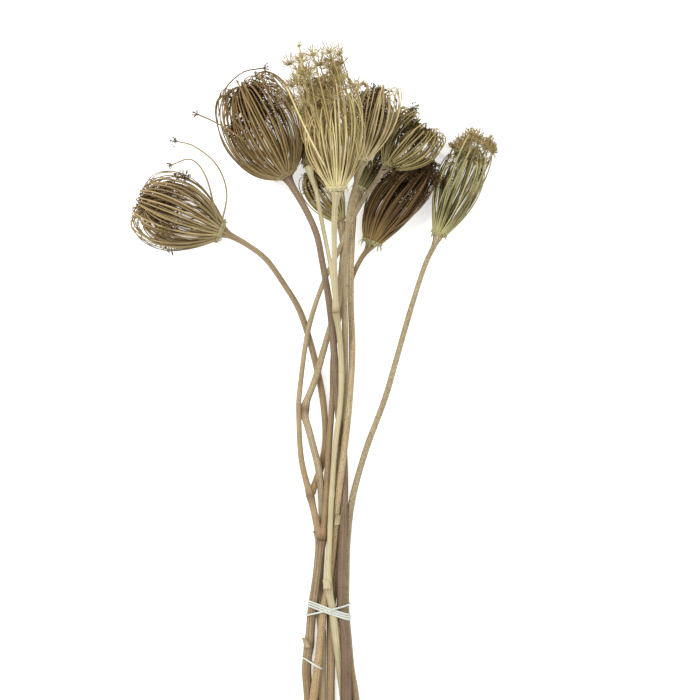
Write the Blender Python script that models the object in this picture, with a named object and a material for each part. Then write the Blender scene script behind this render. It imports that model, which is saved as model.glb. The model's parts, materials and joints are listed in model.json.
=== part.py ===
"""Tied bunch of dried bishops flower, lying on its back: ten umbels, seven cut stems, two ties.

Metres, +Z up. Lengths below are in millimetres and turned into metres where meshes are made.
The stems run along Y with the cut ends at -Y, and the surface is z = 0.
"""

import math
from dataclasses import dataclass, field

import bmesh
import bpy
from mathutils import Vector

MM = 0.001

# Driving dimensions of the whole bunch, in millimetres
RAY_SIDE_RADIUS = 0.95        # from a ray's middle line to a corner of its three-sided section
RAY_TIP_RADIUS = 0.8
RAY_STEPS = 5                 # straight runs along one ray
PEDICEL_REACH = 5.5           # how far an umbellet's spikes stand out
TUFT_EVERY = 4                # one ray in so many ends in an umbellet
CAGE_SHARE = 0.84             # share of a ray's full length that the solid has
STEM_SIDES = 6
STEM_STEP = 26.0              # length of one straight run along a stem
SEAT_GAP = 0.3                # clear gap where two pieces meet
TIE_THICKNESS = 0.8
TIE_SIDES = 18
UPPER_TIE_Y = -172.5          # middle of the upper tie along the stems
LOWER_TIE_Y = -215.0          # middle of the lower tie
LOWER_TIE_HOLDS = ("stem_forked_left", "stem_hidden")
FOOT_SHARE = 0.72             # how far out on the disc the outermost rays stand
RAY_FOOT = 2.6                # height of a ray's foot above the umbel's base
CORE_SPIKE_EVERY = 3          # one face in so many of the packed umbellets is a spike
INNER_RAYS = 3                # rays that carry the packed umbellets
INNER_RING = 0.40             # where on the disc they stand, 0 middle, 1 edge
TIER_STEP = 0.20              # how much nearer the middle every second cage ray stands
STRAY_INDEX = 100             # first number of the stray rays' draws
INNER_HEIGHT = 0.7            # how high rays in the middle of the disc rise, edge rays 1
DISC_HEIGHTS = (SEAT_GAP, 2.2, 4.6)
DISC_SHARES = (0.66, 1.0, 0.74)
DISC_SIDES = 10
BROAD_STRAND = (6.0, 5.6)     # slant and width of the elastic's broad winding
THIN_STRAND = (-4.5, 2.2)     # slant and width of its thin winding
THIN_STRAND_LIFT = 0.4        # how far the thin winding lies above the stems
LOWER_STRAND = (4.5, 1.6)     # slant and width of the lower elastic
FOOTPRINT_MIDDLE = (1.74, -7.57)  # middle of the bunch, in the frame of the points below


@dataclass
class Umbel:
    """Sizes of one umbel: base and tip are the ends of its middle line."""

    name: str
    seed: int
    base: tuple
    tip: tuple
    width: float              # across the cage, in the plane of the surface
    depth: float              # across the cage, upright
    disc: float               # radius of the disc that the rays grow from
    splay: float              # degrees between an outer ray's foot and the axis
    curl: float               # degrees by which an outer ray's tip points back in
    bend: float               # above 1 a ray bends later along its length
    rays: int
    core_at: float            # middle of the packed umbellets, as a share of the length
    core_long: float          # half length of the packed umbellets, as a share of the length
    core_wide: float          # half width of them, as a share of the cage's half width
    colour: tuple
    lean: tuple = (0.0, 0.0)  # sideways and upright drift of the tips, millimetres
    strays: list = field(default_factory=list)  # points of each stray ray after the disc


UMBELS = [
    Umbel("umbel_left", 1, (-71.6, 133.2, 30), (-140.4, 159.8, 30), 67, 65, 9.5, 58, 125, 1.8,
          24, 0.56, 0.30, 0.50, (0.52, 0.40, 0.25),
          strays=[[(-68, 163, 44), (-76, 186, 48), (-94, 201, 46), (-108, 205, 44)],
                  [(-77, 148, 46), (-84, 176, 58), (-96, 190, 54), (-112, 186, 48)]]),
    Umbel("umbel_upper_left", 2, (-20.1, 177.2, 34), (-61.5, 252.5, 33), 70, 69, 9.5, 68, 110, 1.5,
          24, 0.58, 0.30, 0.50, (0.38, 0.26, 0.16), lean=(6.0, 0.0),
          strays=[[(-36, 188, 46), (-58, 208, 57), (-78, 220, 56), (-91, 226, 52)]]),
    Umbel("umbel_back_left", 3, (-2.5, 186.0, 34), (10, 259, 13), 29, 25, 6.5, 40, 90, 2.0, 14,
          0.66, 0.30, 0.50, (0.30, 0.26, 0.15)),
    Umbel("umbel_front", 4, (20.2, 163.4, 95), (17.0, 273.4, 104), 52, 46, 8.0, 38, 85, 2.8, 24,
          0.80, 0.20, 0.56, (0.62, 0.56, 0.38), lean=(-3.0, 0.0),
          strays=[[(6, 190, 113), (-6, 214, 117), (-19, 243, 114)],
                  [(9, 204, 110), (-4, 242, 113), (-9, 274, 110)]]),
    Umbel("umbel_middle", 5, (40.7, 188.7, 66), (54.1, 251.7, 70), 44, 34, 6.5, 60, 125, 2.2,
          16, 0.66, 0.28, 0.48, (0.60, 0.50, 0.33)),
    Umbel("umbel_fan", 6, (59.2, 184.8, 40), (93.5, 224.6, 43), 52, 32, 6.5, 72, 120, 2.4, 18,
          0.62, 0.30, 0.50, (0.44, 0.36, 0.20)),
    Umbel("umbel_hidden", 7, (38.5, 167.8, 14), (64, 231, 13), 34, 26, 6.5, 46, 90, 2.0, 14,
          0.64, 0.28, 0.50, (0.33, 0.28, 0.16)),
    Umbel("umbel_almond", 8, (47.4, 124.0, 18), (76.8, 200.0, 19), 45, 40, 8.0, 50, 85, 1.3, 20,
          0.54, 0.32, 0.56, (0.30, 0.19, 0.12), lean=(21.0, 0.0),
          strays=[[(66, 136, 26), (86, 152, 25), (98, 170, 22), (99, 187, 20), (96, 200, 18)]]),
    Umbel("umbel_right", 9, (101.4, 130.4, 20), (135.5, 213, 19), 42, 45, 6.5, 50, 60, 2.4, 18,
          0.82, 0.22, 0.55, (0.55, 0.52, 0.33)),
    Umbel("umbel_low", 10, (23, 142, 14), (-2, 184, 14), 36, 26, 5.5, 54, 110, 1.8, 12,
          0.60, 0.28, 0.50, (0.45, 0.38, 0.24)),
]


@dataclass
class Stem:
    """A cut stem: shoots of points (x, y, z, radius), the first one down to the cut end.

    The others run from an umbel to a fork. nodes are swellings (x, y, z, radius), and sheaths
    are bits of leaf sheath (x, y, z, radius, length, direction in degrees).
    """

    name: str
    colour: tuple
    shoots: list
    nodes: list = field(default_factory=list)
    sheaths: list = field(default_factory=list)


STEMS = [
    Stem("stem_forked_left", (0.36, 0.27, 0.17), [
        [(7, -115, 16, 3.6), (3.7, -143.7, 13, 3.5), (-0.4, -173.1, 9.5, 3.5),
         (-2.4, -196.7, 8.5, 3.5), (-4.9, -219.7, 6.0, 3.6), (-3.3, -245.8, 4.2, 3.7),
         (-2.9, -296.3, 3.1, 3.6)],
        [(-71.6, 133.2, 30, 5.0), (-66, 130.5, 30, 2.6), (-52, 122.8, 29.5, 2.15),
         (-36.6, 110.8, 28, 2.15), (-21.3, 89.2, 23, 2.2), (-11.6, 73.1, 19, 2.4),
         (-5.2, 56.2, 14.8, 2.4), (2.7, 27.1, 10, 2.5), (8.5, -2.1, 8.6, 2.5),
         (10.5, -32.9, 8.2, 2.5), (7.7, -53.2, 7.8, 2.6), (2.9, -67.7, 9.2, 2.6),
         (-0.9, -77.3, 14, 2.6)],
        [(59.2, 184.8, 40, 3.6), (53, 176, 38.5, 2.1), (42.4, 161, 36, 1.8),
         (32, 142.9, 29, 1.8), (20.7, 117.4, 22, 1.85), (7.8, 90, 19.5, 1.9),
         (-3.5, 53.7, 19, 1.95), (-10, 7.7, 18.2, 2.0), (-11, -14.1, 18.2, 2.05),
         (-8.8, -50.5, 17.2, 2.2), (-1.3, -81.2, 15.5, 2.5), (4.5, -106.3, 15.5, 2.8),
         (7, -115, 16, 3.2)],
        [(47.4, 124, 18, 4.6), (44, 118.5, 16.5, 2.4), (38.3, 110.4, 12.5, 1.9),
         (30.4, 92.7, 9.4, 1.9), (21.5, 64.3, 13, 2.0), (16.7, 31.9, 15.0, 2.1),
         (16, -2, 13.6, 2.2), (13.2, -42.4, 16.4, 2.4), (11.2, -82.8, 16.2, 2.5),
         (9, -105.4, 16.0, 2.7), (7, -115, 16, 3.0)],
    ], nodes=[(7, -114, 16, 4.5), (-0.9, -79, 14.6, 3.4), (-2.6, -200.5, 8.3, 4.2)],
       sheaths=[(-2.6, -200.5, 8.3, 4.2, 8.0, 150.0), (7, -114, 16, 4.5, 8.0, 200.0)]),
    Stem("stem_forked_front", (0.50, 0.46, 0.33), [
        [(19.2, 68.8, 42, 2.3), (22.8, 40, 31.5, 2.05), (22.8, -1.9, 25, 2.05),
         (18.1, -42.2, 21.6, 2.05), (15.3, -82.6, 20.4, 2.05), (13.9, -115, 19.4, 2.05),
         (12.6, -147.3, 20.0, 2.4), (16.3, -172.7, 14.5, 3.0), (19.3, -196.3, 12, 3.2),
         (22.3, -219.6, 6, 3.2), (25.5, -246, 3.6, 3.2), (28.8, -296.4, 2.75, 3.2)],
        [(-2.5, 186, 34, 4.0), (-0.5, 177, 35, 2.1), (3.7, 164.2, 36, 1.7),
         (7.2, 144.2, 36, 1.65), (12.4, 118.5, 37, 1.65), (16.9, 92.8, 41, 1.75),
         (19.2, 68.8, 42, 1.8)],
        [(20.2, 163.4, 95, 5.0), (19.2, 155, 91, 2.6), (18.1, 139, 81, 2.2),
         (18, 112, 64, 2.15), (18.6, 86.2, 50, 2.15), (19.2, 68.8, 42, 2.25)],
    ], nodes=[(19.2, 69.5, 42, 2.9), (12.9, -152, 19.2, 3.4)],
       sheaths=[(12.9, -152, 19.2, 3.4, 7.0, 120.0)]),
    Stem("stem_upper_left", (0.33, 0.25, 0.20), [
        [(-20.1, 177.2, 34, 5.0), (-17, 171.5, 35, 3.0), (-5, 150.6, 40, 2.45),
         (3.8, 130.4, 41, 2.45), (8.2, 108.8, 39, 2.5), (13.4, 78.5, 34.5, 2.6),
         (16.7, 48, 28, 2.7), (20.3, -2, 18, 2.9), (24.7, -42.6, 12.5, 3.2),
         (25.3, -83.1, 12, 3.3), (23.5, -143.7, 12, 3.5), (23.6, -173, 11, 3.5),
         (26.6, -196.4, 13.4, 3.8), (27.2, -245.1, 11.4, 4.2), (28, -295.4, 11.2, 4.3)],
    ]),
    Stem("stem_middle", (0.40, 0.30, 0.19), [
        [(40.7, 188.7, 66, 4.0), (38, 180, 64, 2.2), (34, 166.9, 60, 1.85),
         (29.6, 148.2, 52, 1.85), (26.6, 110.3, 42, 2.0), (26, 78.5, 36, 2.25),
         (26.4, 38.4, 24, 2.5), (25.1, -2.1, 12, 2.6), (21.6, -42.8, 6, 2.7),
         (20.4, -99.6, 5.4, 2.9), (18.6, -144.3, 5.2, 3.0), (15, -173.4, 5.6, 3.1),
         (15, -205.2, 5, 3.2), (14.6, -245.8, 4.3, 3.3), (15, -296.3, 2.8, 3.3)],
    ]),
    Stem("stem_hidden", (0.50, 0.37, 0.22), [
        [(38.5, 167.8, 14, 4.0), (35.8, 159, 14.5, 2.7), (33.6, 150.8, 14.5, 2.4),
         (31.4, 115.2, 15.5, 2.4), (31, 78.8, 16, 2.4), (32.2, 38.4, 19, 2.5),
         (30, -1.9, 21.4, 2.5), (25.6, -42.3, 19.4, 2.6), (20.3, -82.9, 16, 2.7),
         (17, -119.5, 11.5, 2.8), (13.4, -147.8, 11.6, 2.9), (8.8, -172.8, 12.0, 3.0),
         (6.5, -196.3, 12.2, 3.0), (4.1, -218.9, 13, 3.1), (0.8, -245.1, 11.5, 3.2),
         (-5.2, -295.4, 11.1, 3.2)],
    ], nodes=[(19, -101, 13.6, 3.0)],
       sheaths=[(19, -101, 13.6, 3.0, 8.0, 60.0)]),
    Stem("stem_right", (0.42, 0.35, 0.22), [
        [(101.4, 130.4, 20, 4.0), (98, 122, 20.5, 2.2), (90.3, 105.3, 21.5, 2.0),
         (79, 70.2, 23, 2.2), (67.7, 30.7, 23, 2.3), (58.2, -1.9, 21, 2.4),
         (43.3, -42.4, 15.5, 2.4), (32.2, -83, 10, 2.5), (28.2, -116.5, 5.2, 2.7),
         (26.9, -148.3, 4.3, 2.9), (27, -173.5, 4.3, 2.9), (28.8, -197.1, 4.6, 3.0),
         (31, -219.8, 4.3, 3.0), (34.9, -245.9, 4, 3.1), (40.2, -296.4, 2.65, 3.1)],
    ]),
    Stem("stem_low", (0.35, 0.28, 0.20), [
        [(23, 142, 14, 4.0), (23.8, 133, 15.5, 2.6), (24.6, 119.1, 17.5, 2.3),
         (22.7, 94.8, 21.5, 2.3), (20.3, 74.7, 22.5, 2.4), (13.6, 53.7, 21, 2.4),
         (2.9, 16.6, 17.5, 2.5), (-6.2, -9.3, 14.6, 2.6), (-2.5, -27.9, 15, 2.6),
         (4.7, -56.2, 16.8, 2.7), (7.6, -83.1, 10.8, 2.8), (7.3, -115.6, 8.4, 2.9),
         (5.7, -148.2, 6, 3.0), (5.9, -173.4, 5, 3.1), (8, -197, 4.8, 3.2),
         (7.6, -219.7, 5, 3.2), (7.4, -245.8, 4.4, 3.3), (6.8, -296.4, 2.8, 3.3)],
    ], nodes=[(-6.2, -9.3, 14.6, 3.6)],
       sheaths=[(-6.2, -9.3, 14.6, 3.6, 8.0, 290.0)]),
]


def draw(seed, index, channel):
    """Return a fixed number from 0 to 1 that looks random, for one choice on one repeat."""
    value = math.sin(seed * 12.9898 + index * 78.233 + channel * 37.719) * 43758.5453
    return value - math.floor(value)


def spread(seed, index, channel, amount):
    """Return a fixed number from -amount to +amount."""
    return (2.0 * draw(seed, index, channel) - 1.0) * amount


def smooth_through(points, runs):
    """Return points on a smooth curve through the given ones, in runs[i] steps after point i."""
    vectors = [Vector(p) for p in points]
    first = vectors[0] * 2 - vectors[1]
    last = vectors[-1] * 2 - vectors[-2]
    padded = [first] + vectors + [last]
    result = []
    for i, count in enumerate(runs):
        a, b, c, d = padded[i:i + 4]
        for k in range(count):
            t = k / count
            result.append(0.5 * (2 * b + (c - a) * t + (2 * a - 5 * b + 4 * c - d) * t ** 2
                                 + (3 * b - a - 3 * c + d) * t ** 3))
    result.append(vectors[-1])
    return result


def make_object(name, bm):
    """Turn a bmesh in millimetres into an object in metres, over the middle of the footprint."""
    shift = Vector((-FOOTPRINT_MIDDLE[0], -FOOTPRINT_MIDDLE[1], 0))
    bmesh.ops.translate(bm, vec=shift, verts=bm.verts)
    bmesh.ops.scale(bm, vec=(MM, MM, MM), verts=bm.verts)
    bmesh.ops.recalc_face_normals(bm, faces=bm.faces)
    mesh = bpy.data.meshes.new(name)
    bm.to_mesh(mesh)
    bm.free()
    piece = bpy.data.objects.new(name, mesh)
    bpy.context.scene.collection.objects.link(piece)
    return piece


def bridge(bm, low, high):
    """Join two rings of corners with faces."""
    for k in range(len(low)):
        after = (k + 1) % len(low)
        bm.faces.new((low[k], low[after], high[after], high[k]))


def tube(name, line, radii, sides, start=None):
    """Return a closed tube of flat sides along a line, with one side turned down.

    start gives the direction that its first end faces. Nothing goes below the surface.
    """
    bm = bmesh.new()
    rings = []
    last = len(line) - 1
    for i, point in enumerate(line):
        tangent = (line[min(i + 1, last)] - line[max(i - 1, 0)]).normalized()
        if i == 0 and start is not None:
            tangent = start
        side = tangent.cross(Vector((0, 0, 1)))
        if side.length < 0.2:
            side = tangent.cross(Vector((0, 1, 0)))
        side.normalize()
        up = side.cross(tangent)
        ring = []
        for k in range(sides):
            angle = -math.pi / 2 + (k + 0.5) * 2 * math.pi / sides
            corner = point + radii[i] * (math.cos(angle) * side + math.sin(angle) * up)
            corner.z = max(corner.z, 0.0)
            ring.append(bm.verts.new(corner))
        rings.append(ring)
    for low, high in zip(rings, rings[1:]):
        bridge(bm, low, high)
    bm.faces.new(rings[0][::-1])
    bm.faces.new(rings[-1])
    return make_object(name, bm)


def fuse(name, pieces):
    """Join the pieces in one closed body with a Boolean union, applied."""
    body = pieces[0]
    group = bpy.data.collections.new(name + "_parts")
    bpy.context.scene.collection.children.link(group)
    for piece in pieces[1:]:
        bpy.context.scene.collection.objects.unlink(piece)
        group.objects.link(piece)
    union = body.modifiers.new("Union", "BOOLEAN")
    union.operation = "UNION"
    union.operand_type = "COLLECTION"
    union.collection = group
    union.solver = "MANIFOLD"
    bpy.context.view_layer.update()
    depsgraph = bpy.context.evaluated_depsgraph_get()
    joined = bpy.data.meshes.new_from_object(body.evaluated_get(depsgraph))
    body.modifiers.clear()
    body.data = joined
    for piece in list(group.objects):
        bpy.data.objects.remove(piece)
    bpy.data.collections.remove(group)
    keep_main_body(joined)
    body.name = name
    joined.name = name
    return body


def connected_faces(bm):
    """Return the faces of each separate body as sets."""
    unseen = set(bm.faces)
    bodies = []
    while unseen:
        body = set()
        front = [unseen.pop()]
        while front:
            face = front.pop()
            body.add(face)
            for edge in face.edges:
                for other in edge.link_faces:
                    if other in unseen:
                        unseen.remove(other)
                        front.append(other)
        bodies.append(body)
    return bodies


def keep_main_body(mesh):
    """Drop loose scraps and the walls of sealed hollows."""
    bm = bmesh.new()
    bm.from_mesh(mesh)
    bodies = connected_faces(bm)
    main = max(bodies, key=len)
    scraps = [face for body in bodies if body is not main for face in body]
    bmesh.ops.delete(bm, geom=scraps, context="FACES")
    bm.to_mesh(mesh)
    bm.free()


def finish(name, piece, colour, roughness=0.85):
    """Give a piece its own matt material."""
    material = bpy.data.materials.new(name + "_material")
    material.use_nodes = True
    shader = material.node_tree.nodes["Principled BSDF"]
    shader.inputs["Base Color"].default_value = (*colour, 1.0)
    shader.inputs["Roughness"].default_value = roughness
    shader.inputs["Metallic"].default_value = 0.0
    piece.data.materials.clear()
    piece.data.materials.append(material)


def umbel_frame(umbel):
    """Return an umbel's base, its axis, sideways and upright directions, and its length."""
    base = Vector(umbel.base)
    axis = Vector(umbel.tip) - base
    length = axis.length
    axis.normalize()
    side = axis.cross(Vector((0, 0, 1))).normalized()
    up = side.cross(axis)
    return base, axis, side, up, length


def ray_profile(splay, curl, bend, steps, share):
    """Return (height, reach) along a share of a ray of length 1 that bends inward."""
    height = 0.0
    reach = 0.0
    profile = [(height, reach)]
    fine = 6
    piece = share / (steps * fine)
    for k in range(steps * fine):
        angle = math.radians(splay - (splay + curl) * ((k + 0.5) * piece) ** bend)
        height += math.cos(angle) * piece
        reach += math.sin(angle) * piece
        if (k + 1) % fine == 0:
            profile.append((height, reach))
    return profile


def ray_line(umbel, ring, turn, size, swirl, steps, share):
    """Return the middle line of a ray that leaves the disc at a ring (0 middle, 1 edge).

    share is how much of the ray's full length is made.
    """
    base, axis, side, up, length = umbel_frame(umbel)
    full = ray_profile(umbel.splay * ring, umbel.curl * ring, umbel.bend, 12, 1.0)
    tallest = max(height for height, reach in full)
    widest = max(reach for height, reach in full)
    profile = ray_profile(umbel.splay * ring, umbel.curl * ring, umbel.bend, steps, share)
    foot = umbel.disc * FOOT_SHARE
    half_width = umbel.width / 2 - foot - RAY_SIDE_RADIUS
    half_depth = umbel.depth / 2 - foot - RAY_SIDE_RADIUS
    points = []
    for k, (height, reach) in enumerate(profile):
        around = turn + swirl * k / steps
        across = ring * (foot + half_width * reach / widest * size)
        upright = ring * (foot + half_depth * reach / widest * size)
        shorter = INNER_HEIGHT + (1 - INNER_HEIGHT) * ring
        rise = RAY_FOOT + (length - RAY_FOOT) * height / tallest * size * shorter
        drift = (rise / length) ** 2
        point = base + axis * rise
        point += side * (math.cos(around) * across + umbel.lean[0] * drift)
        point += up * (math.sin(around) * upright + umbel.lean[1] * drift)
        point.z = max(point.z, RAY_TIP_RADIUS * 0.5)
        points.append(point)
    return points


def outer_rays(umbel):
    """Return the lines of the rays that make the cage, in two tiers, one inside the other.

    The first ray points down and has its full size: it is what a low umbel lies on.
    """
    lines = []
    for index in range(umbel.rays):
        tier = index % 2
        ring = 1.0 - TIER_STEP * tier - 0.05 * draw(umbel.seed, index, 1)
        turn = 2 * math.pi * index / umbel.rays - math.pi / 2
        size = 1.0 - 0.09 * draw(umbel.seed, index, 3) * min(index, 1)
        swirl = spread(umbel.seed, index, 4, 0.08)
        lines.append(ray_line(umbel, ring, turn, size, swirl, RAY_STEPS, CAGE_SHARE))
    return lines


def inner_rays(umbel):
    """Return the lines of the few rays that carry the packed umbellets."""
    lines = []
    for index in range(INNER_RAYS):
        turn = 2 * math.pi * index / INNER_RAYS + umbel.seed
        lines.append(ray_line(umbel, INNER_RING, turn, umbel.core_at, 0.0, 3, 1.0))
    return lines


def build_umbel(umbel):
    """Build disc, rays, packed umbellets and their spikes as one body."""
    base, axis, side, up, length = umbel_frame(umbel)
    disc_line = [base + axis * height for height in DISC_HEIGHTS]
    disc_radii = [umbel.disc * share for share in DISC_SHARES]
    pieces = [tube("disc", disc_line, disc_radii, DISC_SIDES, start=axis)]
    for index, line in enumerate(outer_rays(umbel)):
        thin = (RAY_TIP_RADIUS - RAY_SIDE_RADIUS) / (len(line) - 1)
        radii = [RAY_SIDE_RADIUS + thin * k for k in range(len(line))]
        if index % TUFT_EVERY == 0:
            pieces.append(ray_with_umbellet(umbel, index, line, radii, axis))
        else:
            pieces.append(tube("ray", line, radii, 3, start=axis))
    for line in inner_rays(umbel):
        pieces.append(tube("ray", line, [RAY_SIDE_RADIUS] * len(line), 3, start=axis))
    for number, stray in enumerate(umbel.strays):
        line = smooth_through([base + axis * RAY_FOOT] + stray, [2] * len(stray))
        radii = [RAY_TIP_RADIUS] * len(line)
        pieces.append(ray_with_umbellet(umbel, STRAY_INDEX + number, line, radii,
                                        line[1] - line[0]))
    pieces.append(packed_umbellets(umbel))
    body = fuse(umbel.name, pieces)
    finish(umbel.name, body, umbel.colour)


def ray_with_umbellet(umbel, index, line, radii, start):
    """Return a three-sided ray whose tip branches into four pedicel spikes."""
    forward = (line[-1] - line[-2]).normalized()
    ray = tube("ray", line + [line[-1] + forward * 2.0], radii + [radii[-1]], 3,
               start=start.normalized())
    bm = bmesh.new()
    bm.from_mesh(ray.data)
    bm.verts.ensure_lookup_table()
    tips = set(bm.verts[-6:])
    crown = [face for face in bm.faces if all(vert in tips for vert in face.verts)]
    for k, face in enumerate(crown):
        outward = face.normal.copy()
        middle = face.calc_center_median()
        reach = PEDICEL_REACH * (0.75 + 0.5 * draw(umbel.seed, index, 40 + k))
        if len(face.verts) == 4:
            outward = outward * 0.75 + forward * 0.65
        point = middle + outward.normalized() * reach * MM
        point.z = max(point.z, RAY_TIP_RADIUS * MM)
        poked = bmesh.ops.poke(bm, faces=[face])
        poked["verts"][0].co = point
    bm.to_mesh(ray.data)
    bm.free()
    return ray


def packed_umbellets(umbel):
    """Return the packed umbellets inside the cage: a small lumpy core that bristles."""
    base, axis, side, up, length = umbel_frame(umbel)
    middle = base + axis * (length * umbel.core_at) + side * umbel.lean[0] * umbel.core_at ** 2
    half_wide = umbel.width / 2 * umbel.core_wide
    half_deep = umbel.depth / 2 * umbel.core_wide
    half_long = length * umbel.core_long
    bm = bmesh.new()
    bmesh.ops.create_icosphere(bm, subdivisions=2, radius=1.0)
    bmesh.ops.poke(bm, faces=list(bm.faces)[::CORE_SPIKE_EVERY])
    for number, vert in enumerate(bm.verts):
        size = 0.62 + 0.16 * draw(umbel.seed, number, 50)
        if len(vert.link_edges) == 3:
            size = 1.15 + 0.45 * draw(umbel.seed, number, 51)
        local = vert.co.normalized() * size
        vert.co = (middle + side * local.x * half_wide + up * local.y * half_deep
                   + axis * local.z * half_long)
        vert.co.z = max(vert.co.z, RAY_TIP_RADIUS)
    return make_object("core", bm)


def stem_line(points):
    """Return the smooth middle line and radii of a shoot from its (x, y, z, radius) points."""
    runs = []
    for a, b in zip(points, points[1:]):
        distance = (Vector(b[:3]) - Vector(a[:3])).length
        runs.append(max(1, round(distance / STEM_STEP)))
    smooth = smooth_through(points, runs)
    line = [Vector(p[:3]) for p in smooth]
    radii = [p[3] for p in smooth]
    return line, radii


def sheath(x, y, z, radius, long, towards):
    """Return a bit of leaf sheath: a flat pointed blade that stands off its node."""
    angle = math.radians(towards)
    outward = Vector((math.cos(angle), 0, math.sin(angle)))
    across = Vector((-outward.z, 0, outward.x))
    start = Vector((x, y - 1.5, z)) + outward * (radius - 0.9)
    end = Vector((x, y + long, z)) + outward * (radius + 2.0)
    bm = bmesh.new()
    rings = []
    for share, half in ((0.0, 2.4), (0.55, 2.0), (1.0, 0.7)):
        point = start.lerp(end, share)
        ring = []
        for sign_across, sign_out in ((-1, -1), (1, -1), (1, 1), (-1, 1)):
            corner = point + across * half * sign_across + outward * 0.4 * sign_out
            corner.z = max(corner.z, 0.0)
            ring.append(bm.verts.new(corner))
        rings.append(ring)
    for low, high in zip(rings, rings[1:]):
        bridge(bm, low, high)
    bm.faces.new(rings[0][::-1])
    bm.faces.new(rings[-1])
    return make_object("sheath", bm)


def build_stem(stem):
    """Build a cut stem: its shoots, node swellings and sheath bits in one body."""
    pieces = []
    tops = {tuple(umbel.base): umbel for umbel in UMBELS}
    for shoot in stem.shoots:
        line, radii = stem_line(shoot)
        start = None
        top = tuple(shoot[0][:3])
        if top in tops:
            start = -umbel_frame(tops[top])[1]
        pieces.append(tube("shoot", line, radii, STEM_SIDES, start=start))
    for x, y, z, radius in stem.nodes:
        line = [Vector((x, y - share * radius, z)) for share in (-1.3, -0.5, 0.5, 1.3)]
        radii = [radius * 0.7, radius, radius, radius * 0.7]
        pieces.append(tube("node", line, radii, STEM_SIDES))
    for bit in stem.sheaths:
        pieces.append(sheath(*bit))
    if len(pieces) > 1:
        body = fuse(stem.name, pieces)
    else:
        body = pieces[0]
        body.name = stem.name
        body.data.name = stem.name
    finish(stem.name, body, stem.colour)


def shoot_at(points, y):
    """Return (x, z, radius) of a shoot where it passes y."""
    line, radii = stem_line(points)
    for k in range(len(line) - 1):
        if line[k].y >= y > line[k + 1].y:
            share = (line[k].y - y) / (line[k].y - line[k + 1].y)
            point = line[k].lerp(line[k + 1], share)
            return point.x, point.z, radii[k] + (radii[k + 1] - radii[k]) * share
    return None


def outermost(held, y, outward):
    """Return the point that a tight band touches on the held shoots, at y, in one direction."""
    best = None
    for points in held:
        x, z, radius = shoot_at(points, y)
        point = Vector((x, y, z)) + outward * (radius + SEAT_GAP)
        if best is None or point.dot(outward) > best.dot(outward):
            best = point
    return best


def tie_strand(name, held, middle_y, slant, width, lift=0.0):
    """Return a closed flat band drawn tight round the held shoots.

    slant is how far the near side of the band rises to the left, and its far side to the right.
    lift is how far above the shoots it lies, where it is wound over another strand.
    """
    bm = bmesh.new()
    rings = []
    for k in range(TIE_SIDES):
        angle = 2 * math.pi * k / TIE_SIDES
        outward = Vector((math.cos(angle), 0, math.sin(angle)))
        near_or_far = 1 if outward.z > -0.2 else -1
        y = middle_y - slant * outward.x * near_or_far
        edges = [outermost(held, y + along * width / 2, outward) for along in (-1, 1)]
        ring = []
        for edge, out in ((0, 0), (1, 0), (1, 1), (0, 1)):
            corner = edges[edge] + outward * (lift + TIE_THICKNESS * out)
            corner.z = max(corner.z, 0.05)
            ring.append(bm.verts.new(corner))
        rings.append(ring)
    for low, high in zip(rings, rings[1:] + rings[:1]):
        bridge(bm, low, high)
    return make_object(name, bm)


def build_ties():
    """Build the two white elastic ties."""
    trunks = [stem.shoots[0] for stem in STEMS]
    broad = tie_strand("broad", trunks, UPPER_TIE_Y, *BROAD_STRAND)
    thin = tie_strand("thin", trunks, UPPER_TIE_Y + 0.5, *THIN_STRAND, lift=THIN_STRAND_LIFT)
    upper = fuse("upper_tie", [broad, thin])
    finish("upper_tie", upper, (0.85, 0.86, 0.86), 0.6)
    pair = [stem.shoots[0] for stem in STEMS if stem.name in LOWER_TIE_HOLDS]
    lower = tie_strand("lower_tie", pair, LOWER_TIE_Y, *LOWER_STRAND)
    finish("lower_tie", lower, (0.85, 0.86, 0.86), 0.6)


def main():
    """Clear the scene and build every piece."""
    for old in list(bpy.data.objects):
        bpy.data.objects.remove(old, do_unlink=True)
    for umbel in UMBELS:
        build_umbel(umbel)
    for stem in STEMS:
        build_stem(stem)
    build_ties()


main()
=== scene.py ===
"""Tied bunch of dried bishops flower, lying on its back: its forms, finishes, light and camera.

Lengths below are in millimetres in the drawing's frame. A MeshDraft turns them into metres over
the middle of the footprint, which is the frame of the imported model. The surface is z = 0.
"""

import json
import logging
import math
from dataclasses import dataclass, field
from enum import Enum

import bpy
import numpy as np
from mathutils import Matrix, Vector

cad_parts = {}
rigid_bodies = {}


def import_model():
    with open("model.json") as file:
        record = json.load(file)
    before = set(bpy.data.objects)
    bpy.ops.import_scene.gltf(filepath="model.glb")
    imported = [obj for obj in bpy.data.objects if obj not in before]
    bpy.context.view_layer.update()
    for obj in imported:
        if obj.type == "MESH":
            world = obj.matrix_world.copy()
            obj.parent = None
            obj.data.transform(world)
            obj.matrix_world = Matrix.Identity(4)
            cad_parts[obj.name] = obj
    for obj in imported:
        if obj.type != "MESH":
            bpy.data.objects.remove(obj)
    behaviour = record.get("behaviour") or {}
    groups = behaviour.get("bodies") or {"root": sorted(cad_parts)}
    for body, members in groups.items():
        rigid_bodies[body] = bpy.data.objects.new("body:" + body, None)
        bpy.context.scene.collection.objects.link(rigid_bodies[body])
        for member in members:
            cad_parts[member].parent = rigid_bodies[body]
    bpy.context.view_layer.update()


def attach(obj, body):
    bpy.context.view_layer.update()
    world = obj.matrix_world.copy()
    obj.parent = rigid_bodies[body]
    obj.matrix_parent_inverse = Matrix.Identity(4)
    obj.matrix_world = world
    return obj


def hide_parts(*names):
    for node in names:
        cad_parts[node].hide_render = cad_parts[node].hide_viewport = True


LOG = logging.getLogger("bishops_flower")

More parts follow.
